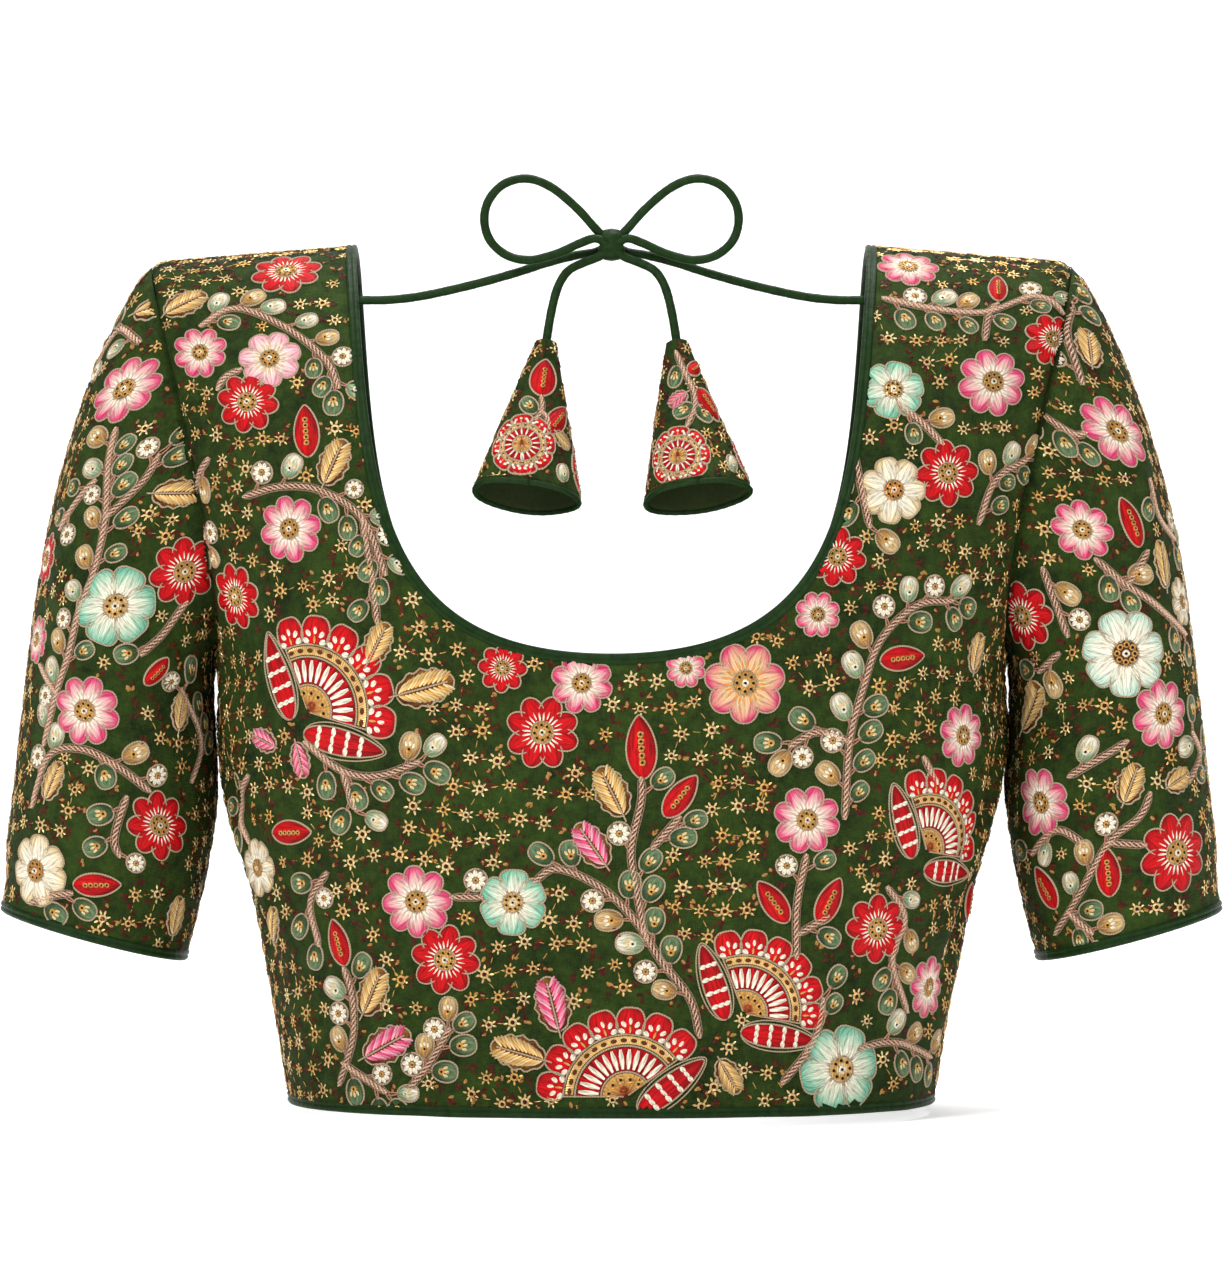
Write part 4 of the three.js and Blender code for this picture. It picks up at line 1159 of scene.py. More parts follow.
def grains(x, y, angle, length, width, height, tint, kind="floss", lift=0.0, rows=4):
    # many single satin stitches, each a small pointed dome of a few faces, angle clockwise from upwards
    x, y, angle, length, width = np.broadcast_arrays(*[np.atleast_1d(np.asarray(v, float)) for v in
                                                       (x, y, angle, length, width)])
    r = np.linspace(0.04, 0.96, rows)[:, None]
    v = np.array([-1.0, 0, 1])[None, :]
    forward, across = (r - 0.5) + 0 * v, 0.5 * v * swell(r, 0.4, 0.4)
    a = np.radians(angle)[:, None, None]
    px, py = across[None] * width[:, None, None], forward[None] * length[:, None, None]
    gx = px * np.cos(a) + py * np.sin(a) + x[:, None, None]
    gy = py * np.cos(a) - px * np.sin(a) + y[:, None, None]
    gz = lift + 0.05 + np.broadcast_to(height * (1 - v * v) * (0.7 + 1.2 * r * (1 - r)), (rows, 3))[None] + 0 * gx
    faces = (gridFaces(rows, 3)[None] + np.arange(len(x))[:, None, None] * rows * 3).reshape(-1, 4)
    tint = np.broadcast_to(np.atleast_2d(tint), (len(x), 3))[:, None, None, :]
    return lot(kind, gx, gy, gz, np.broadcast_to(tint, gx.shape + (3,)), (px, py), faces)


def beads(x, y, radius, height, tint, kind="zari", lift=0.0):
    # many little domes, each a square of four faces pressed round
    x, y, radius = np.broadcast_arrays(*[np.atleast_1d(np.asarray(v, float)) for v in (x, y, radius)])
    u, v = np.meshgrid([-1.0, 0, 1], [-1.0, 0, 1])
    ox, oy = u * np.sqrt(1 - v * v / 2), v * np.sqrt(1 - u * u / 2)
    dome = np.sqrt(np.maximum(1 - ox * ox - oy * oy, 0))
    gx, gy = x[:, None, None] + ox * radius[:, None, None], y[:, None, None] + oy * radius[:, None, None]
    faces = (gridFaces(3, 3)[None] + np.arange(len(x))[:, None, None] * 9).reshape(-1, 4)
    tint = np.broadcast_to(np.atleast_2d(tint), (len(x), 3))[:, None, None, :]
    return lot(kind, gx, gy, lift + 0.05 + height * dome[None] + 0 * gx, np.broadcast_to(tint, gx.shape + (3,)),
               (gx, gy), faces)


def sequins(x, y, radius, tint, height=0.45, hole=0.42, lift=0.0, sides=8):
    # many rings of metal thread, each rising from its edge to its hole
    x, y, radius = np.broadcast_arrays(*[np.atleast_1d(np.asarray(v, float)) for v in (x, y, radius)])
    a = roundTurn(sides)[None, :]
    size = np.array([hole, 0.72, 1.0])[:, None]
    rise = np.array([0.35, 1.0, 0.1])[:, None] * height
    gx = x[:, None, None] + radius[:, None, None] * size * np.cos(a)
    gy = y[:, None, None] + radius[:, None, None] * size * np.sin(a)
    faces = (gridFaces(3, sides, roundColumns=True)[None] + np.arange(len(x))[:, None, None] * 3 * sides)
    tint = np.broadcast_to(np.atleast_2d(tint), (len(x), 3))[:, None, None, :]
    return lot("zari", gx, gy, lift + 0.05 + rise[None] + 0 * gx, np.broadcast_to(tint, gx.shape + (3,)),
               (size[None] * 3 + 0 * gx, a[None] * 2 + 0 * gx), faces.reshape(-1, 4))


def band(inner, outer, start, end, shade, height=0.35, rows=4, columns=24, kind="floss"):
    # part of a ring between two radii and two angles, angles clockwise from upwards, rounded across
    a = np.radians(np.linspace(start, end, columns))[None, :]
    r = np.linspace(0, 1, rows)[:, None]
    radius = inner + (outer - inner) * r
    rise = 0.1 + height * np.sqrt(np.maximum(1 - (2 * r - 1) ** 2, 0)) + 0 * a
    tint = shade(r + 0 * a, np.linspace(-1, 1, columns)[None, :] + 0 * r)
    return lot(kind, radius * np.sin(a), radius * np.cos(a), rise, tint, (a * outer + 0 * r, radius + 0 * a))


def streaky(low, high, begin=0.0, end=1.0, streaks=3.0):
    # from one colour at the base to another at the tip, with streaks across the threads and painted shade towards both
    # edges
    def shade(r, v):
        share = (r - begin) / (end - begin) + 0.32 * np.sin(v * streaks * 3.1 + 1.3 * np.cos(r * 5))
        # painted shade: each run darker towards both edges across its threads, where the rounded stitching slopes away
        return mixed(low, high, share) * (1 - 0.34 * np.abs(v) ** 2)[..., None]
    return shade


# flowers
flowerKinds = {
    "red": {"petals": 8, "start": 0.42, "tip": 0.5, "low": "red", "high": "deepRed", "begin": 0.45, "end": 1.6,
            "ring": "white", "heart": "gold"},
    "pink": {"petals": 8, "start": 0.42, "tip": 0.42, "low": "white", "high": "rose", "begin": 0.1, "end": 0.75,
             "ring": "white", "heart": "gold"},
    "blush": {"petals": 7, "start": 0.42, "tip": 0.38, "low": "white", "high": "blush", "begin": 0.1, "end": 0.7,
              "ring": "cream", "heart": "gold"},
    "orange": {"petals": 7, "start": 0.42, "tip": 0.46, "low": "cream", "high": "rose", "begin": 0.2, "end": 0.95,
               "ring": "amber", "heart": "gold"},
    "mint": {"petals": 6, "start": 0.5, "tip": 0.3, "low": "white", "high": "mint", "begin": 0.15, "end": 0.8,
             "ring": "white", "heart": "cream"},
    "cream": {"petals": 7, "start": 0.45, "tip": 0.32, "low": "white", "high": "cream", "begin": 0.3, "end": 1.1,
              "ring": "white", "heart": "amber"},
    "snow": {"petals": 7, "start": 0.48, "tip": 0.3, "low": "white", "high": "paleMint", "begin": 0.3, "end": 0.9,
             "ring": "white", "heart": "brown"},
}


def flower(name, size):
    # petals round a gold heart pierced with dark eyelets, a ring of pale stitches between
    kind = flowerKinds[name]
    count, heart = kind["petals"], 0.31 * size
    length = size - heart * 0.75
    width = 2 * (heart + length * 0.52) * math.tan(math.pi / count) * 1.02
    shade = streaky(kind["low"], kind["high"], kind["begin"], kind["end"])
    one = petal(length, width, kind["start"], kind["tip"], shade, lift=0.75)
    one += couched(rim(length, width, kind["start"], kind["tip"]), closed=True)
    made = []
    for k in range(count):
        angle = 360 / count * k
        made += turned(one, angle + 3 * math.sin(k * 2.3), *polar(heart * 0.75, angle))
    stitches = count * 3
    a = np.linspace(0, 360, stitches, endpoint=False)
    reach = heart * 1.12 + size * 0.1 * (1 + 0.35 * np.cos(np.arange(stitches) * 2 * np.pi / 3))
    made += grains(*polar(reach, a), a, size * 0.24, size * 0.06, 0.42, thread[kind["ring"]], lift=0.55)
    made += beads(0, 0, heart, 0.7, thread[kind["heart"]] * 0.8, lift=0.5)
    eyes = polar(heart * 0.66, np.linspace(0, 360, 8, endpoint=False) + 20)
    made += sequins(*eyes, heart * 0.25, thread["gold"], 0.4, 0.5, 0.85)
    made += beads(*eyes, heart * 0.13, 0.12, thread["black"], "floss", 1.0)
    made += sequins(0, 0, heart * 0.3, thread["white"], 0.5, 0.4, 1.1)
    made += beads(0, 0, heart * 0.12, 0.1, thread["black"], "floss", 1.25)
    circle = np.stack(polar(heart, np.linspace(0, 360, 24, endpoint=False)), -1)
    made += couched(circle, 0.6, 0.3, "cord", True, lift=0.6)
    return made


def leaf(name, length, width):
    # a pointed leaf: red with a spine of sequins, or dark with slanted stitches of gold or pink
    lobed = 0.0 if name == "red" else 0.1
    start, tip = (0.62, 0.8) if name == "red" else (0.55, 0.62)
    made = couched(rim(length, width, start, tip, 0.2, 25, lobed, 4.5), 0.8, 0.55, closed=True)
    if name == "red":
        made += petal(length, width, start, tip, streaky("red", "deepRed", 0.2, 1.7, 7), 0.8, 13, 7)
        at = np.linspace(0.26, 0.7, 5) * length
        made += sequins(0 * at, at, length * 0.055, thread["gold"], 0.45, 0.4, 0.95)
        made += beads(0 * at, at, length * 0.02, 0.1, thread["black"], "floss", 1.0)
        return made
    low, high = {"gold": ("cream", "gold"), "pink": ("blush", "rose")}[name]
    made += petal(length, width, start, tip, streaky("brown", "brass", -0.2, 1.6), 0.4, 13, 5, lobed, 4.5)
    r = np.linspace(0.1, 0.86, 12)
    half = width / 2 * swell(r, start, tip)
    for side in (-1, 1):
        pick = (np.arange(12) * 7 + (side > 0)) % 3 / 2
        made += grains(side * half * 0.5, length * (r + 0.035), side * 38, half * 1.18 + 0.6, length * 0.058, 0.5,
                       mixed(low, high, pick), lift=0.42)
    made += couched(np.stack([np.zeros(9), np.linspace(-0.12, 0.9, 9) * length], -1), 0.7, 0.35, "cord", lift=0.75)
    return made


def bud(name, length, width):
    # a small padded drop on a stalk: green with a bead, gold, or a white wheel
    if name == "wheel":
        size = width * 0.58
        a = np.linspace(0, 360, 9, endpoint=False)
        x, y = polar(size * 0.6, a)
        ring = np.stack(polar(size, np.linspace(0, 360, 20, endpoint=False)), -1) + [0, size]
        made = beads(0, size, size, 0.35, thread["cordDark"], "floss")
        made += grains(x, size + y, a, size * 0.62, size * 0.4, 0.4, thread["white"], lift=0.3)
        made += sequins(0, size, size * 0.26, thread["gold"], 0.4, 0.4, 0.55)
        return made + couched(ring, 0.8, 0.5, closed=True)
    shade = {"green": streaky("moss", "sage", 0.3, 1.3, 6), "gold": streaky("brass", "cream", 0.0, 1.2, 6),
             "pearl": streaky("sage", "white", 0.2, 0.9, 6)}[name]
    made = petal(length, width, 0.5, 0.42, shade, 0.7, 7, 5)
    made += couched(rim(length, width, 0.5, 0.42, 0.3, 11), 0.75, 0.5, closed=True)
    made += sequins(0, length * 0.4, width * 0.19, thread["gold" if name != "pearl" else "white"], 0.4, 0.35, 0.75)
    made += beads(0, length * 0.4, width * 0.07, 0.1, thread["black"], "floss", 0.9)
    ends = np.array([-1.0, 0, 1])
    made += grains(ends * width * 0.2, length * (0.6 - 0.04 * np.abs(ends)), ends * 16, length * 0.2, width * 0.15,
                   0.35, thread["cream" if name != "gold" else "white"], lift=0.7)
    return made


def fan(size, half, count, leaves):
    # a flower seen from the side, opened to the half angle each way: gold heart, red band with white
    # spokes, gold chain, red petals, and a striped leaf along each edge
    made = band(0.02 * size, 0.27 * size, -half - 3, half + 3, lambda r, v: mixed("rust", "gold", r * 1.3), 0.4, 4, 14)
    eyes = polar(0.2 * size, np.linspace(-half + 8, half - 8, 5))
    made += sequins(*eyes, 0.045 * size, thread["gold"], 0.4, 0.4, 0.5)
    made += beads(*eyes, 0.02 * size, 0.1, thread["black"], "floss", 0.6)
    made += sequins(0, 0.08 * size, 0.05 * size, thread["rust"], 0.4, 0.4, 0.5)
    red = lambda r, v: mixed("deepRed", "red", 0.55 + 0.45 * np.sin(v * 34))
    made += band(0.3 * size, 0.56 * size, -half - 1, half + 1, red, 0.4, 4, 28)
    spokes = np.linspace(-half + 4, half - 4, 2 * count - 1)
    made += grains(*polar(0.43 * size, spokes), spokes, 0.25 * size, 0.055 * size, 0.45, thread["white"], lift=0.45)
    pale = lambda r, v: mixed("gold", "cream", 0.3 + 0 * r)
    made += band(0.6 * size, 0.69 * size, -half, half, pale, 0.4, 3, 26, "zari")
    chain = np.linspace(-half + 3, half - 3, 2 * count)
    made += grains(*polar(0.645 * size, chain), chain + 90, 0.075 * size, 0.05 * size, 0.15, thread["brown"], lift=0.45)
    for radius in (0.285, 0.58, 0.71):
        made += couched(np.stack(polar(radius * size, np.linspace(-half - 1, half + 1, 24)), -1), 0.8, 0.55)
    for side in (-1, 1):
        edge = np.linspace(0.03, 0.72, 7)[:, None] * np.array(polar(size, side * (half + 2)))
        made += couched(edge, 0.75, 0.5)
    length = 0.31 * size
    width = 2 * 0.84 * size * math.tan(math.radians((half - 6) / (count - 1)))
    one = petal(length, width, 0.22, 0.3, streaky("red", "deepRed", 0.6, 1.7, 5), 0.7)
    one += couched(rim(length, width, 0.22, 0.3, 0.2), 0.8, 0.55, closed=True)
    gx = np.array([0, -0.24, 0.24, -0.3, 0.3]) * width
    gy = np.array([0.5, 0.38, 0.38, 0.12, 0.12]) * length
    lean = np.array([0, -38, 38, -62, 62])
    one += grains(gx, gy, lean, 0.26 * length, 0.17 * width, 0.45, thread["white"], lift=0.6)
    one += grains(0, 0.2 * length, 0, 0.3 * length, 0.08 * width, 0.3, thread["gold"], lift=0.6)
    for angle in np.linspace(-half + 6, half - 6, count):
        made += turned(one, angle, *polar(0.71 * size, angle))
    for side in leaves:
        made += turned(striped(0.95 * size, 0.27 * size), side * (half - 1), *polar(0.23 * size, side * (half + 90)))
    return made


def striped(length, width):
    # a narrow pointed leaf, red barred with white
    made = petal(length, width, 0.5, 0.7, streaky("red", "deepRed", 0.3, 1.5, 6), 0.7, 15, 5)
    line = rim(length, width, 0.5, 0.7, 0.2, 19)
    made += couched(line, 0.75, 0.55, closed=True) + couched(line * [1.32, 1.03], 0.6, 0.4, closed=True)
    for share in (0.2, 0.38, 0.56, 0.73):
        half = width / 2 * swell(np.array(share), 0.5, 0.7)
        offset = np.linspace(-0.66, 0.66, 3) * half
        made += grains(offset, share * length + 0 * offset, 84, half * 0.78, length * 0.058, 0.45, thread["white"],
                       lift=0.6)
    return made


def vine(line, strands=3, width=0.75, sway=0.95, wave=7.4):
    # strands that cross as they go: each sways sideways as a sine, a third of a turn behind the last
    path = smoothLine(line, 1.4)
    ahead = unit(np.gradient(path, axis=0))
    side = np.stack([ahead[:, 1], -ahead[:, 0]], -1)
    gone = along(path)
    ends = np.clip(np.minimum(gone, gone[-1] - gone) / 5 + 0.4, 0, 1)
    # a flat maroon strip under the strands: painted shade in the gaps between them
    made = couched(path, 2 * sway, 0.12, "maroon", kind="floss")
    for k in range(strands):
        phase = gone * 2 * np.pi / wave + k * 2 * np.pi / strands
        strand = path + side * (sway * np.sin(phase) * ends)[:, None]
        # painted light and shade: each strand paler and brighter where it rides over the others, darker where it passes
        # under
        lit = (0.72 + 0.28 * np.cos(phase))[:, None, None]
        shade = np.broadcast_to(mixed("vine", "vinePaintedHighlight", 0.5 + 0.7 * np.cos(phase))[:, None] * lit, (len(path), 4, 3))
        made += couched(strand, width, 0.55 + 0.35 * np.cos(phase)[:, None], shade, lift=0.2)
    for edge in (-1, 1):
        made += couched(path + side * (edge * (sway + 0.62) * ends)[:, None], 0.6, 0.4, "cordDark")
    return made, path, side


def stars(x, y, size=3.6):
    # gold stars: a ring with a dark eye and seven short points, each star turned its own way
    count = len(x)
    spin, big = dice.uniform(0, 51, count), size * dice.uniform(0.8, 1.12, count)
    gold = mixed("gold", "cream", dice.uniform(0.0, 1.0, count))
    made = sequins(x, y, big * 0.5, gold, 0.5, 0.5, sides=7)
    made += beads(x, y, big * 0.24, 0.12, thread["maroon"], "floss")
    a = spin[:, None] + np.arange(7) * 360 / 7 + dice.uniform(-9, 9, (count, 7))
    reach = big[:, None] * dice.uniform(0.66, 0.82, (count, 7))
    dx, dy = polar(reach, a)
    px, py = x[:, None] + dx, y[:, None] + dy
    made += grains(px.ravel(), py.ravel(), a.ravel(), np.repeat(big * 0.52, 7), np.repeat(big * 0.27, 7), 0.35,
                   np.repeat(gold, 7, 0) * dice.uniform(0.75, 1.15, (count * 7, 1)), "zari", rows=3)
    return made


def clusters(x, y, size=2.9):
    # small scattered knots of maroon and brown between the stars
    count = len(x)
    a, reach = dice.uniform(0, 360, (count, 5)), size * dice.uniform(0.1, 0.9, (count, 5))
    dx, dy = polar(reach, a)
    px, py = x[:, None] + dx, y[:, None] + dy
    pick = dice.uniform(0, 1, count * 5)
    tint = np.where((pick < 0.82)[:, None], mixed("maroon", "brown", pick * 0.8), mixed("brown", "gold", pick * 0.6))
    return grains(px.ravel(), py.ravel(), dice.uniform(0, 180, count * 5), dice.uniform(1.7, 2.9, count * 5), 1.5, 0.4,
                  tint, rows=3)


class Embroidery:
    # The work on one panel: its lots of stitches in flat places, and the room that is taken.
    def __init__(self, sheet):
        self.sheet, self.lots, self.taken = sheet, [], []

    def sew(self, lots, s, t, angle=0.0, scale=1.0):
        self.lots += turned(lots, angle, s, t, scale)

    def take(self, s, t, radius):
        self.taken.append((s, t, radius))

    def takeAt(self, s, t, reach, angle, radius):
        dx, dy = polar(reach, angle)
        self.take(s + dx, t + dy, radius)

    def free(self, s, t, radius):
        # which of the places keep clear of all that is taken
        if not self.taken:
            return np.ones(np.shape(s), bool)
        taken = np.array(self.taken)
        gap = np.hypot(np.subtract.outer(s, taken[:, 0]), np.subtract.outer(t, taken[:, 1])) - taken[:, 2]
        return gap.min(-1) > radius

    def layOut(self, plan, side, mirror):
        for x, down, name, size in plan.get("flowers", []):
            s, t = self.sheet.find(x * mirror, down, side)
            self.sew(flower(name, size), s, t, angle=(x * 7 + down * 3) % 45)
            self.take(s, t, size)
        for x, down, size, angle, half, count, sides in plan.get("fans", []):
            s, t = self.sheet.find(x * mirror, down, side)
            self.sew(fan(size, half, count, sides), s, t, angle)
            self.takeAt(s, t, 0.62 * size, angle, size * 0.5)
            for lean in (-0.6 * half, 0.6 * half):
                self.takeAt(s, t, 0.72 * size, angle + lean, size * 0.34)
            for k in sides:
                dx, dy = polar(0.23 * size, angle + k * (half + 90))
                for share in (0.2, 0.5, 0.8):
                    self.takeAt(s + dx, t + dy, share * size, angle + k * (half - 1), size * 0.17)
        for x, down, name, length, angle in plan.get("leaves", []):
            s, t = self.sheet.find(x * mirror, down, side)
            dx, dy = polar(length / 2, angle)
            self.sew(leaf(name, length, length * (0.46 if name == "red" else 0.58)), s - dx, t - dy, angle)
            for share in (-0.25, 0.0, 0.25):
                self.takeAt(s, t, share * length, angle, length * 0.24)
        budTurn = 0
        for line in plan.get("vines", []):
            flatLine = [self.sheet.find(x * mirror, down, side) for x, down in line]
            stitches, path, sideways = vine(flatLine)
            self.lots += stitches
            for s, t in path[::2]:
                self.take(s, t, 1.6)
            gone = along(path)
            for at in np.arange(5.5, gone[-1] + 2, 6.2):
                k = min(int(np.searchsorted(gone, at)), len(path) - 1)
                ahead = unit(path[min(k + 2, len(path) - 1)] - path[max(k - 2, 0)])
                for hand in ((1, -1) if budTurn % 2 else (-1, 1)):
                    lean = math.radians(38 + 16 * math.sin(budTurn * 1.7))
                    way = ahead * math.cos(lean) + sideways[k] * hand * math.sin(lean)
                    stalk = 3.0 + 2.2 * abs(math.sin(budTurn * 2.1))
                    foot = path[k] + way * stalk
                    size = 9.0 + 2.6 * abs(math.sin(budTurn * 0.9))
                    middle = foot + way * size * 0.5
                    budTurn += 1
                    if not self.free(middle[0], middle[1], size * 0.36):
                        continue
                    name = ("green", "pearl", "green", "wheel", "green", "gold")[budTurn % 6]
                    angle = math.degrees(math.atan2(way[0], way[1]))
                    self.sew(bud(name, size, size * 0.72), foot[0], foot[1], angle)
                    across = np.array([way[1], -way[0]])
                    stalkLine = np.array([path[k], (path[k] + foot) / 2 + sideways[k] * 0.4, foot + way * 0.6])
                    for hold in (-1, 1):
                        wide = np.array([1.0, 0.75, 0.3])[:, None]
                        self.lots += couched(stalkLine + across * wide * hold * 0.8, 0.65, 0.45, "vine")
                    self.take(middle[0], middle[1], size * 0.42)

    def fill(self, pitch=10.6):
        # stars on a lattice bent by slow sines, where nothing else lies; clusters between them both ways
        rows, columns = self.sheet.inside.shape
        s0, t0 = self.sheet.s0, self.sheet.t0
        s, t = np.meshgrid(np.arange(s0, s0 + columns * flat["step"], pitch),
                           np.arange(t0, t0 + rows * flat["step"], pitch))
        s = s + (np.arange(s.shape[0]) % 2)[:, None] * pitch * 0.5
        bentS = s + 2.6 * np.sin(t / 23 + 1.3) + 1.8 * np.sin(t / 9 + s / 31)
        bentT = t + 2.8 * np.sin(s / 19) + 1.8 * np.sin(s / 8 + t / 37 + 2)
        s, t = bentS + dice.uniform(-1.5, 1.5, s.shape), bentT + dice.uniform(-1.5, 1.5, s.shape)
        clear = self.free(s, t, 2.6) & (self.sheet.read(self.sheet.inside, s, t) > 1.0)
        self.lots += stars(s[clear], t[clear])
        for first, second in (((slice(None), slice(1, None)), (slice(None), slice(None, -1))),
                              ((slice(1, None), slice(None)), (slice(None, -1), slice(None)))):
            pairs = clear[first] & clear[second]
            ds, dt = (s[first] - s[second])[pairs], (t[first] - t[second])[pairs]
            angle = np.degrees(np.arctan2(ds, dt)) + dice.uniform(-14, 14, len(ds))
            self.lots += grains(s[second][pairs] + ds / 2, t[second][pairs] + dt / 2, angle, 3.2, 0.45, 0.25,
                                thread["gold"] * 0.8, "zari", rows=3)
        count = 0
        for ds, dt, share in ((0.5, 0.0, 0.95), (0.25, 0.5, 0.6)):
            cs = s + pitch * ds + dice.uniform(-1.2, 1.2, s.shape)
            ct = t + pitch * dt + dice.uniform(-1.2, 1.2, s.shape)
            room = self.free(cs, ct, 1.4) & (self.sheet.read(self.sheet.inside, cs, ct) > 0.5)
            room &= dice.uniform(0, 1, s.shape) < share
            self.lots += clusters(cs[room], ct[room])
            count += int(room.sum())
        print(f"  stars {int(clear.sum())}, clusters {count}")

    def finish(self, name):
        # carries every lot on to the panel and makes one piece for each kind of thread
        made = []
        for kind, (material, slotName) in threadFinish.items():
            lots = [part for part in self.lots if part[0] == kind]
            if not lots:
                continue
            starts = np.cumsum([0] + [len(part[1]) for part in lots[:-1]])
            points = np.concatenate([part[1] for part in lots])
            faces = np.concatenate([part[2] + start for part, start in zip(lots, starts)])
            tint, lie = np.concatenate([part[3] for part in lots]), np.concatenate([part[4] for part in lots])
            a, b, c, d = [points[faces[:, k]] for k in range(4)]
            facing = ((c - a)[:, 0] * (d - b)[:, 1] - (c - a)[:, 1] * (d - b)[:, 0])
            faces = np.where((facing < 0)[:, None], faces[:, ::-1], faces)
            inside = self.sheet.read(self.sheet.inside, points[:, 0], points[:, 1]) > 0
            faces = faces[inside[faces].all(1)]
            used, faces = np.unique(faces, return_inverse=True)
            points, tint, lie = points[used], tint[used], lie[used]
            at = self.sheet.read(self.sheet.points, points[:, 0], points[:, 1])
            normal = unit(self.sheet.read(self.sheet.normals, points[:, 0], points[:, 1]))
            piece = makeMesh(f"{name}_{kind}", at + normal * points[:, 2:3], faces.reshape(-1, 4), [material],
                             uv=lie, tint=tint)
            print(f"  {name}_{kind}: {2 * len(piece.data.polygons)} triangles")
            made.append(place(piece, slotName))
        return made


def makeFloss():
    # untwisted silk: fine threads side by side, each a little lighter or darker, with a silky gloss
    finish = Finish("silk_floss", Roughness=0.55, Specular_IOR_Level=0.12)
    lie, tint = finish.lie(), finish.tint()
    strands = lie.stretch(1.15, 0.1, 1).noise(1.0, 3.0, 0.7)
    finish.send("Base Color", tint.dim((strands - 0.5) * 3.4 + 0.86))
    finish.send("Roughness", strands * 0.3 + 0.36)
    finish.bump(strands, 0.8)
    return finish.material


def makeCouchedCord():
    # a hard twisted cord: slanting strands, with painted shade darkening the grooves between them
    finish = Finish("twisted_couching_cord", Roughness=0.55, Specular_IOR_Level=0.4)
    lie, tint = finish.lie(), finish.tint()
    twist = (lie.part(0) * 5.5 + lie.part(1) * 4.0).sine() * 0.5 + 0.5
    # painted shade: the colour dims in the grooves of the twist, following the same sine as the bump
    finish.send("Base Color", tint.dim(twist * 0.45 + 0.72))
    finish.bump(twist, 0.25)
    return finish.material


def makeZari():
    # metal thread: a painted highlight where a strand turns up and painted shade between strands, with patches of wear
    # that change its colour and roughness
    finish = Finish("gold_zari", Metallic=0.75, Roughness=0.34, Specular_IOR_Level=0.6)
    lie, tint, places = finish.lie(), finish.tint(), finish.places()
    strands = (lie.part(0) * 6.0 + lie.part(1) * 2.0).sine() * 0.5 + 0.5
    wear = places.noise(300.0, 2.0)
    # the strands term is a painted highlight on each strand's crest and painted shade between; the wear term is real
    # patchy wear
    finish.send("Base Color", tint.dim(strands * 0.35 + wear * 0.6 + 0.55))
    finish.send("Roughness", wear * 0.4 + 0.16)
    finish.bump(strands + wear, 0.22)
    return finish.material


threadFinish = {"floss": (makeFloss(), "floss"), "cord": (makeCouchedCord(), "couched_cord"),
                "zari": (makeZari(), "zari_gold")}

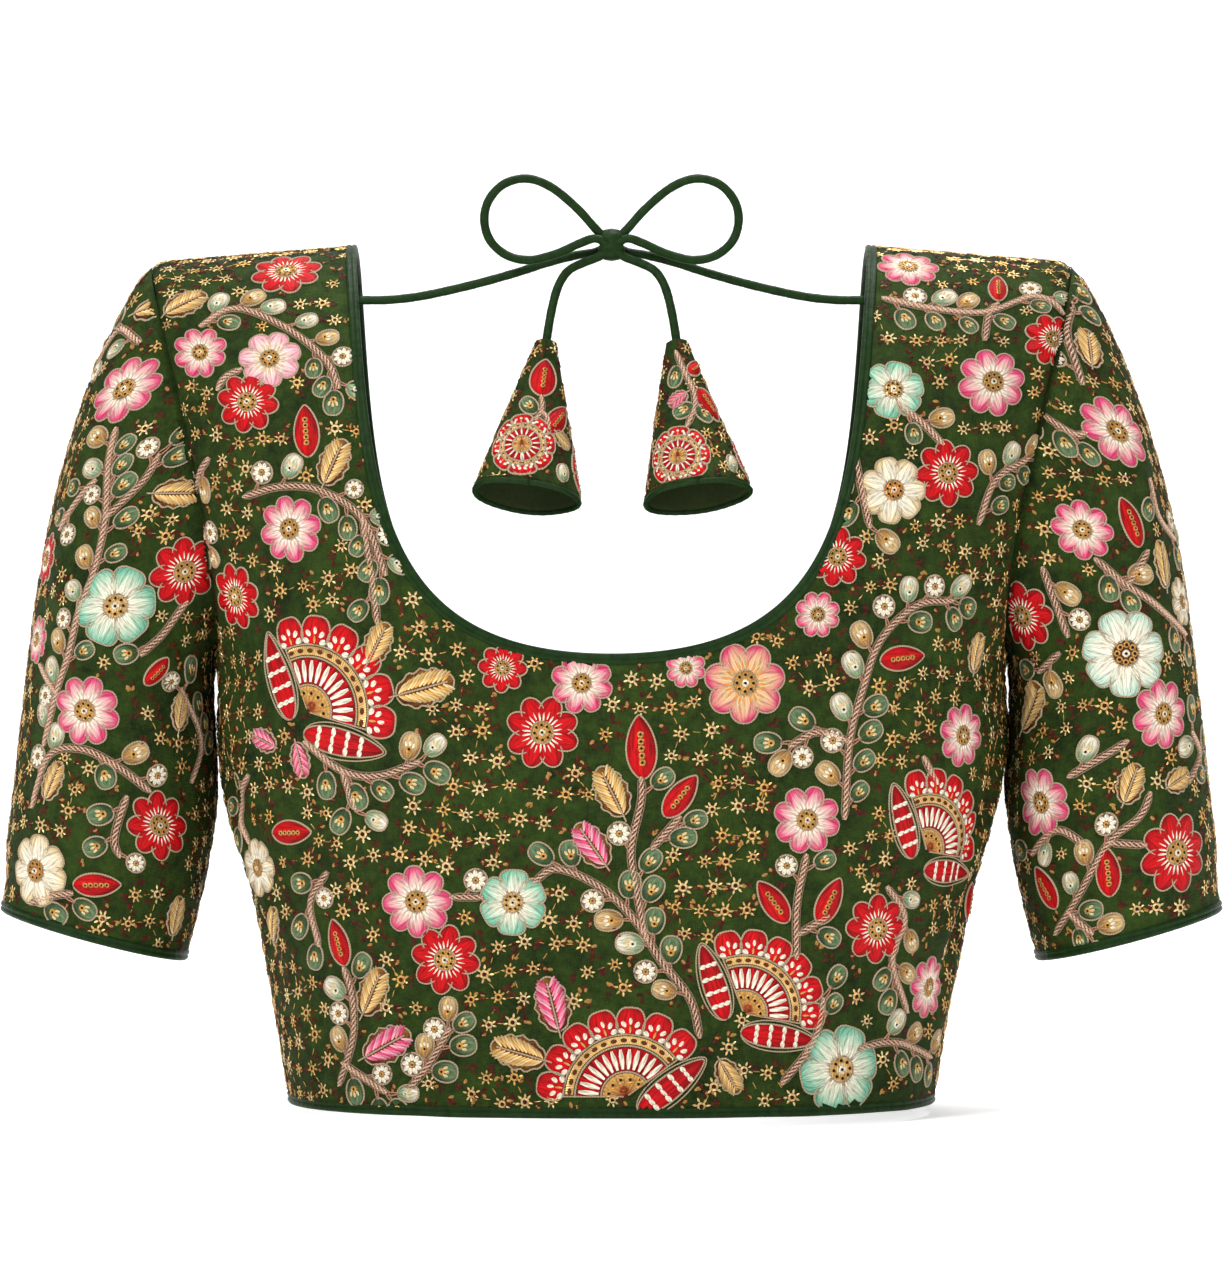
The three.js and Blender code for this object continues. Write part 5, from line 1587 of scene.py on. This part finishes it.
# where the motifs go: places across and down in millimetres, then size and the way they point
backPlan = {
    "fans": [(-124, 196, 39, 41, 62, 6, (-1, 1)), (6, 353, 36, -18, 70, 7, (1,)), (54, 319, 34, 40, 59, 6, (-1, 1)),
             (129, 254, 34, 38, 58, 6, (-1, 1))],
    "flowers": [(-150, 69, "red", 14), (-141, 51, "blush", 13.5), (-171, 48, "pink", 13), (-136, 13, "red", 15),
                (-44, 179, "red", 10), (-12, 184, "pink", 12.5), (-27, 205, "red", 15), (53, 185, "orange", 16.5),
                (29, 179, "pink", 8), (-131, 122, "pink", 14), (-155, 148, "red", 14), (-79, 273, "pink", 15),
                (-68, 297, "red", 14.5), (-40, 274, "mint", 13.5), (80, 239, "pink", 14), (109, 286, "red", 14.5),
                (94, 342, "mint", 18), (145, 206, "pink", 13), (131, 311, "pink", 13), (114, 105, "cream", 14),
                (116, 64, "mint", 13), (137, 98, "red", 14.5), (158, 61, "pink", 16), (184, 42, "red", 14),
                (123, 11, "pink", 13), (92, 134, "red", 12.5), (84, 157, "pink", 9.5), (-146, 262, "cream", 12)],
    "leaves": [(-124, 81, "red", 23, -4), (-178, 26, "gold", 22, 60), (-113, 95, "gold", 21, 25),
               (-76, 187, "gold", 25, 75),
               (-143, 208, "pink", 15, -70), (-128, 217, "pink", 15, 165), (-131, 246, "red", 21, 88),
               (-111, 291, "red", 20, -16), (-97, 310, "gold", 22, 28), (-91, 332, "pink", 24, 62),
               (-23, 314, "pink", 23, -14), (-37, 334, "gold", 23, -74), (12, 210, "red", 26, -4),
               (28, 230, "red", 21, 38),
               (0, 229, "gold", 22, -26), (-7, 249, "pink", 21, -34), (65, 273, "red", 21, -36),
               (88, 273, "red", 21, 26),
               (118, 175, "red", 21, 84), (161, 20, "red", 17, 0), (-94, 169, "gold", 19, 28),
               (48, 344, "gold", 16, 150),
               (-140, 285, "gold", 16, 20), (150, 172, "gold", 17, 20), (150, 278, "red", 17, 12)],
    "vines": [[(36, 329), (32, 313), (20, 297), (9.5, 281), (-5, 268), (-21, 260), (-31, 266)],
              [(14, 288), (10, 268), (8, 252), (11, 232), (12, 222)], [(15, 252), (27, 238)],
              [(95, 240), (96, 208), (102, 187), (109, 167), (125, 153), (139, 150)], [(96, 208), (84, 204), (72, 210)],
              [(76, 296), (76, 275), (80, 254)], [(76, 288), (88, 280)],
              [(-112, 350), (-106, 330), (-106, 313), (-109, 300)], [(-110, 340), (-92, 352)],
              [(-151, 108), (-135, 104), (-118, 106), (-102, 118), (-91, 140)], [(-102, 118), (-98, 140), (-94, 160)],
              [(-126, 209), (-110, 220), (-94, 222), (-78, 216)], [(-110, 220), (-104, 236)],
              [(111, 26), (132, 29), (155, 31), (177, 24), (190, 31)], [(155, 44), (157, 31), (160, 27)],
              [(118, 70), (129, 80), (135, 88)], [(101, 334), (117, 333), (133, 340)], [(-66, 272), (-52, 272)],
              [(-162, 64), (-160, 58), (-153, 55)], [(-172, 36), (-156, 30), (-136, 38), (-118, 52), (-112, 64)],
              [(-166, 92), (-174, 108), (-168, 126)], [(98, 84), (101, 104), (104, 122)],
              [(112, 268), (120, 282), (116, 298), (122, 320)], [(-150, 222), (-154, 240), (-150, 252)],
              [(-116, 262), (-124, 276), (-120, 292)], [(-84, 352), (-74, 340), (-66, 324)],
              [(70, 348), (82, 330), (86, 312)], [(128, 214), (134, 226)], [(150, 120), (158, 100), (172, 92)]],
}
leftSleevePlan = {
    "flowers": [(-203, 62, "pink", 14.5), (-177, 138, "red", 14.5), (-204, 152, "mint", 16.5),
                (-217, 197, "pink", 14.5),
                (-188, 243, "red", 14.5), (-240, 262, "cream", 15), (-236, 132, "red", 11), (-240, 166, "pink", 10)],
    "leaves": [(-213, 269, "red", 20, 86), (-179, 106, "gold", 20, 86), (-186, 28, "gold", 22, 60),
               (-232, 226, "gold", 17, 20), (-180, 196, "gold", 17, 18), (-189, 180, "red", 15, 40),
               (-182, 282, "gold", 17, 10)],
    "vines": [[(-242, 236), (-234, 216), (-219, 212), (-204, 218), (-191, 229)],
              [(-236, 210), (-229, 187), (-224, 170), (-214, 136), (-209, 117), (-208, 92), (-205, 78)],
              [(-209, 117), (-195, 101), (-187, 89)], [(-243, 276), (-232, 274), (-224, 271)],
              [(-230, 190), (-238, 176)], [(-200, 232), (-206, 248), (-204, 258)],
              [(-214, 100), (-224, 112), (-230, 122)], [(-196, 44), (-206, 36), (-214, 46)],
              [(-176, 150), (-186, 164), (-196, 174)], [(-176, 226), (-172, 208), (-180, 186)]],
}
rightSleevePlan = {
    "flowers": [(210, 81, "pink", 15), (194, 121, "pink", 12.5), (171, 157, "red", 14.5), (213, 173, "snow", 18),
                (229, 197, "pink", 14.5), (179, 235, "pink", 14.5), (235, 256, "red", 17), (238, 150, "cream", 10)],
    "leaves": [(215, 118, "red", 21, -10), (176, 194, "gold", 24, 32), (205, 262, "red", 21, -8),
               (182, 270, "red", 21, -34),
               (229, 136, "gold", 20, 6), (214, 226, "gold", 18, 30), (200, 44, "gold", 18, 30),
               (236, 226, "gold", 16, 70)],
    "vines": [[(177, 84), (189, 80), (197, 81)], [(200, 132), (213, 145), (227, 153), (240, 164)],
              [(213, 145), (222, 130)], [(186, 290), (194, 276), (206, 250), (218, 240), (224, 230)],
              [(190, 280), (200, 290)], [(206, 250), (222, 252)], [(190, 224), (204, 214), (214, 208)],
              [(186, 172), (178, 180)], [(196, 60), (190, 40), (192, 26)],
              [(178, 136), (184, 150), (190, 166)], [(224, 100), (228, 116), (236, 124)],
              [(196, 252), (186, 246), (176, 256)], [(240, 226), (246, 214), (242, 204)]],
}
frontPlan = {
    "fans": [(118, 250, 29, -38, 56, 6, (-1, 1)), (-60, 340, 32, 6, 62, 7, (-1,)), (-112, 232, 28, 40, 56, 6, (-1, 1)),
             (62, 312, 27, -30, 56, 6, (-1, 1))],
    "flowers": [(-152, 60, "pink", 15), (-130, 28, "red", 14), (150, 74, "red", 15), (128, 40, "cream", 14),
                (130, 108, "pink", 13), (-140, 104, "mint", 14), (-122, 140, "red", 14), (112, 146, "orange", 15),
                (150, 160, "red", 13), (-150, 178, "cream", 13), (-60, 200, "pink", 14), (-26, 214, "red", 13),
                (44, 196, "red", 15), (84, 206, "mint", 15), (20, 236, "pink", 14), (-44, 262, "cream", 14),
                (-84, 288, "red", 14), (-22, 300, "pink", 14), (24, 332, "red", 14), (104, 326, "pink", 15),
                (142, 214, "pink", 13), (-118, 326, "mint", 15), (134, 300, "red", 13), (170, 32, "pink", 12),
                (-176, 22, "red", 12), (-142, 284, "pink", 13)],
    "leaves": [(-118, 60, "gold", 20, -30), (-164, 92, "red", 20, 20), (160, 112, "gold", 20, 24),
               (122, 76, "red", 20, -20),
               (-92, 186, "red", 22, 66), (-76, 230, "gold", 22, 20), (66, 236, "red", 22, 24),
               (44, 266, "gold", 22, -30),
               (-14, 258, "gold", 20, 10), (-58, 302, "pink", 20, -30), (88, 176, "gold", 19, 40),
               (92, 276, "pink", 18, 60),
               (14, 290, "red", 20, -20), (-20, 340, "gold", 20, -70), (-104, 356, "red", 16, 60),
               (134, 344, "gold", 18, -20),
               (-150, 230, "gold", 18, 0), (150, 262, "red", 18, 10)],
    "vines": [[(-140, 116), (-134, 128), (-126, 136)], [(140, 86), (132, 100), (122, 130)],
              [(60, 200), (72, 216), (66, 226)],
              [(-48, 206), (-38, 230), (-44, 250)], [(40, 300), (32, 276), (26, 252)],
              [(-70, 330), (-66, 312), (-62, 300)],
              [(84, 300), (96, 310), (104, 318)], [(-100, 250), (-96, 270), (-88, 280)],
              [(142, 226), (146, 244), (140, 262)],
              [(8, 340), (-6, 326), (-14, 312)], [(-160, 196), (-152, 206), (-140, 214)],
              [(110, 160), (100, 172), (90, 190)]],
}
sleeveFrontPlan = {
    "flowers": [(206, 50, "red", 14), (222, 96, "mint", 15), (196, 132, "pink", 14), (226, 158, "red", 14),
                (184, 186, "cream", 14), (216, 210, "pink", 15), (188, 250, "red", 15), (236, 248, "mint", 14)],
    "leaves": [(196, 84, "red", 20, 10), (234, 126, "gold", 19, 20), (204, 168, "gold", 20, -40),
               (240, 200, "red", 18, 10),
               (192, 220, "gold", 18, 50), (212, 264, "red", 20, 80), (198, 24, "gold", 18, 40)],
    "vines": [[(210, 66), (214, 78), (220, 84)], [(222, 110), (214, 124), (206, 130)],
              [(190, 198), (198, 206), (204, 210)],
              [(230, 172), (236, 186), (230, 200)], [(216, 224), (222, 238), (228, 244)], [(190, 264), (184, 276)]],
}


def embroiderPanel(name, sheet, plans):
    work = Embroidery(sheet)
    for plan, side, mirror in plans:
        work.layOut(plan, side, mirror)
    work.fill()
    return work.finish(name)


# each cone's motifs: places round from the side that faces back and down from the tip
conePlans = {
    -1: {"rosettes": [(-4, 50, 13.5), (34, 51, 13), (-42, 48, 12)],
         "leaves": [("red", 1, 27, 17, 11, 0), ("red", 6, 43, 16, 9, 28), ("gold", 9, 42, 10, 6, 118),
                    ("red", -25, 38, 15, 8, -8)],
         "buds": [("green", 0, 35, 9, 6.4, -48), ("pearl", 16, 63, 8, 6, -12), ("green", 22, 38, 8, 6, 20)],
         "vines": [[(0, 39), (2, 33), (1, 27)], [(2, 34), (5, 37), (6, 42)]]},
    1: {"rosettes": [(-6, 54, 13), (36, 50, 13), (-44, 50, 12)],
        "leaves": [("red", 3, 17, 10, 6, 52), ("red", 6, 24, 17, 9, 148), ("pink", 1, 26, 9, 6, -120),
                   ("red", -24, 36, 15, 8, 8)],
        "buds": [("green", -1, 13, 10, 5.6, -160), ("green", 3, 32, 9, 6.4, -112), ("green", 4, 33, 9, 6.4, 128),
                 ("pearl", 18, 62, 8, 6, 6)],
        "vines": [[(-1, 6), (1, 15), (4, 26), (3, 34), (-1, 42)]]},
}


def embroiderCone(sign):
    # round flowers with red petals near the mouth, red leaves above on a vine, stars between
    work, plan = Embroidery(coneSheet(sign)), conePlans[sign]
    for s, down, size in plan["rosettes"]:
        work.sew(fan(size, 180, 9, ()), s, -down, 8 * sign)
        work.take(s, -down, size * 0.98)
    for line in plan["vines"]:
        path = np.array([(s, -down) for s, down in line], float)
        work.lots += vine(path, sway=0.6)[0]
        for s, t in path:
            work.take(s, t, 1.4)
    for name, s, down, length, width, angle in plan["leaves"]:
        work.sew(leaf(name, length, width), s, -down, angle)
        for share in (0.3, 0.6, 0.85):
            work.takeAt(s, -down, share * length, angle, width * 0.4)
    for name, s, down, length, width, angle in plan["buds"]:
        work.sew(bud(name, length, width), s, -down, angle)
        work.takeAt(s, -down, 0.5 * length, angle, length * 0.4)
    work.fill(8.4)
    return work.finish(f"latkan_{'left' if sign < 0 else 'right'}")


sheets = {"back": bodySheet(-1), "front_right": bodySheet(1, 1), "front_left": bodySheet(1, -1),
          "sleeve_right": sleeveSheet("right", 1), "sleeve_left": sleeveSheet("left", -1)}
print("panels opened flat")
work = {
    "back": embroiderPanel("back", sheets["back"], [(backPlan, -1, 1)]),
    "front_right": embroiderPanel("front_right", sheets["front_right"], [(frontPlan, 1, 1)]),
    "front_left": embroiderPanel("front_left", sheets["front_left"], [(frontPlan, 1, 1)]),
    "sleeve_right": embroiderPanel("sleeve_right", sheets["sleeve_right"],
                                   [(rightSleevePlan, -1, 1), (sleeveFrontPlan, 1, 1)]),
    "sleeve_left": embroiderPanel("sleeve_left", sheets["sleeve_left"],
                                  [(leftSleevePlan, -1, 1), (sleeveFrontPlan, 1, -1)]),
}
coneWork = {"left": embroiderCone(-1), "right": embroiderCone(1)}
print("embroidery sewn")

for cord, path, length in doriCords:
    name = cord.name.split("_")[1]
    path[0] * 0.001
    (path * 0.001).tolist()
    list(latkans[name]) + coneWork[name]

# every panel as cut, without seam allowances: the width and length it takes flat in metres, and its own
# area in square metres
panels = {
    "back": {"flat": (0.444, 0.404), "area": 0.116, "with": work["back"]},
    "front_right": {"flat": (0.242, 0.412), "area": 0.0605, "with": work["front_right"]},
    "front_left": {"flat": (0.242, 0.412), "area": 0.0606, "with": work["front_left"]},
    "sleeve_right": {"flat": (0.300, 0.288), "area": 0.0614, "with": work["sleeve_right"] + [cuffBindings[0]]},
    "sleeve_left": {"flat": (0.300, 0.288), "area": 0.0614, "with": work["sleeve_left"] + [cuffBindings[1]]},
}
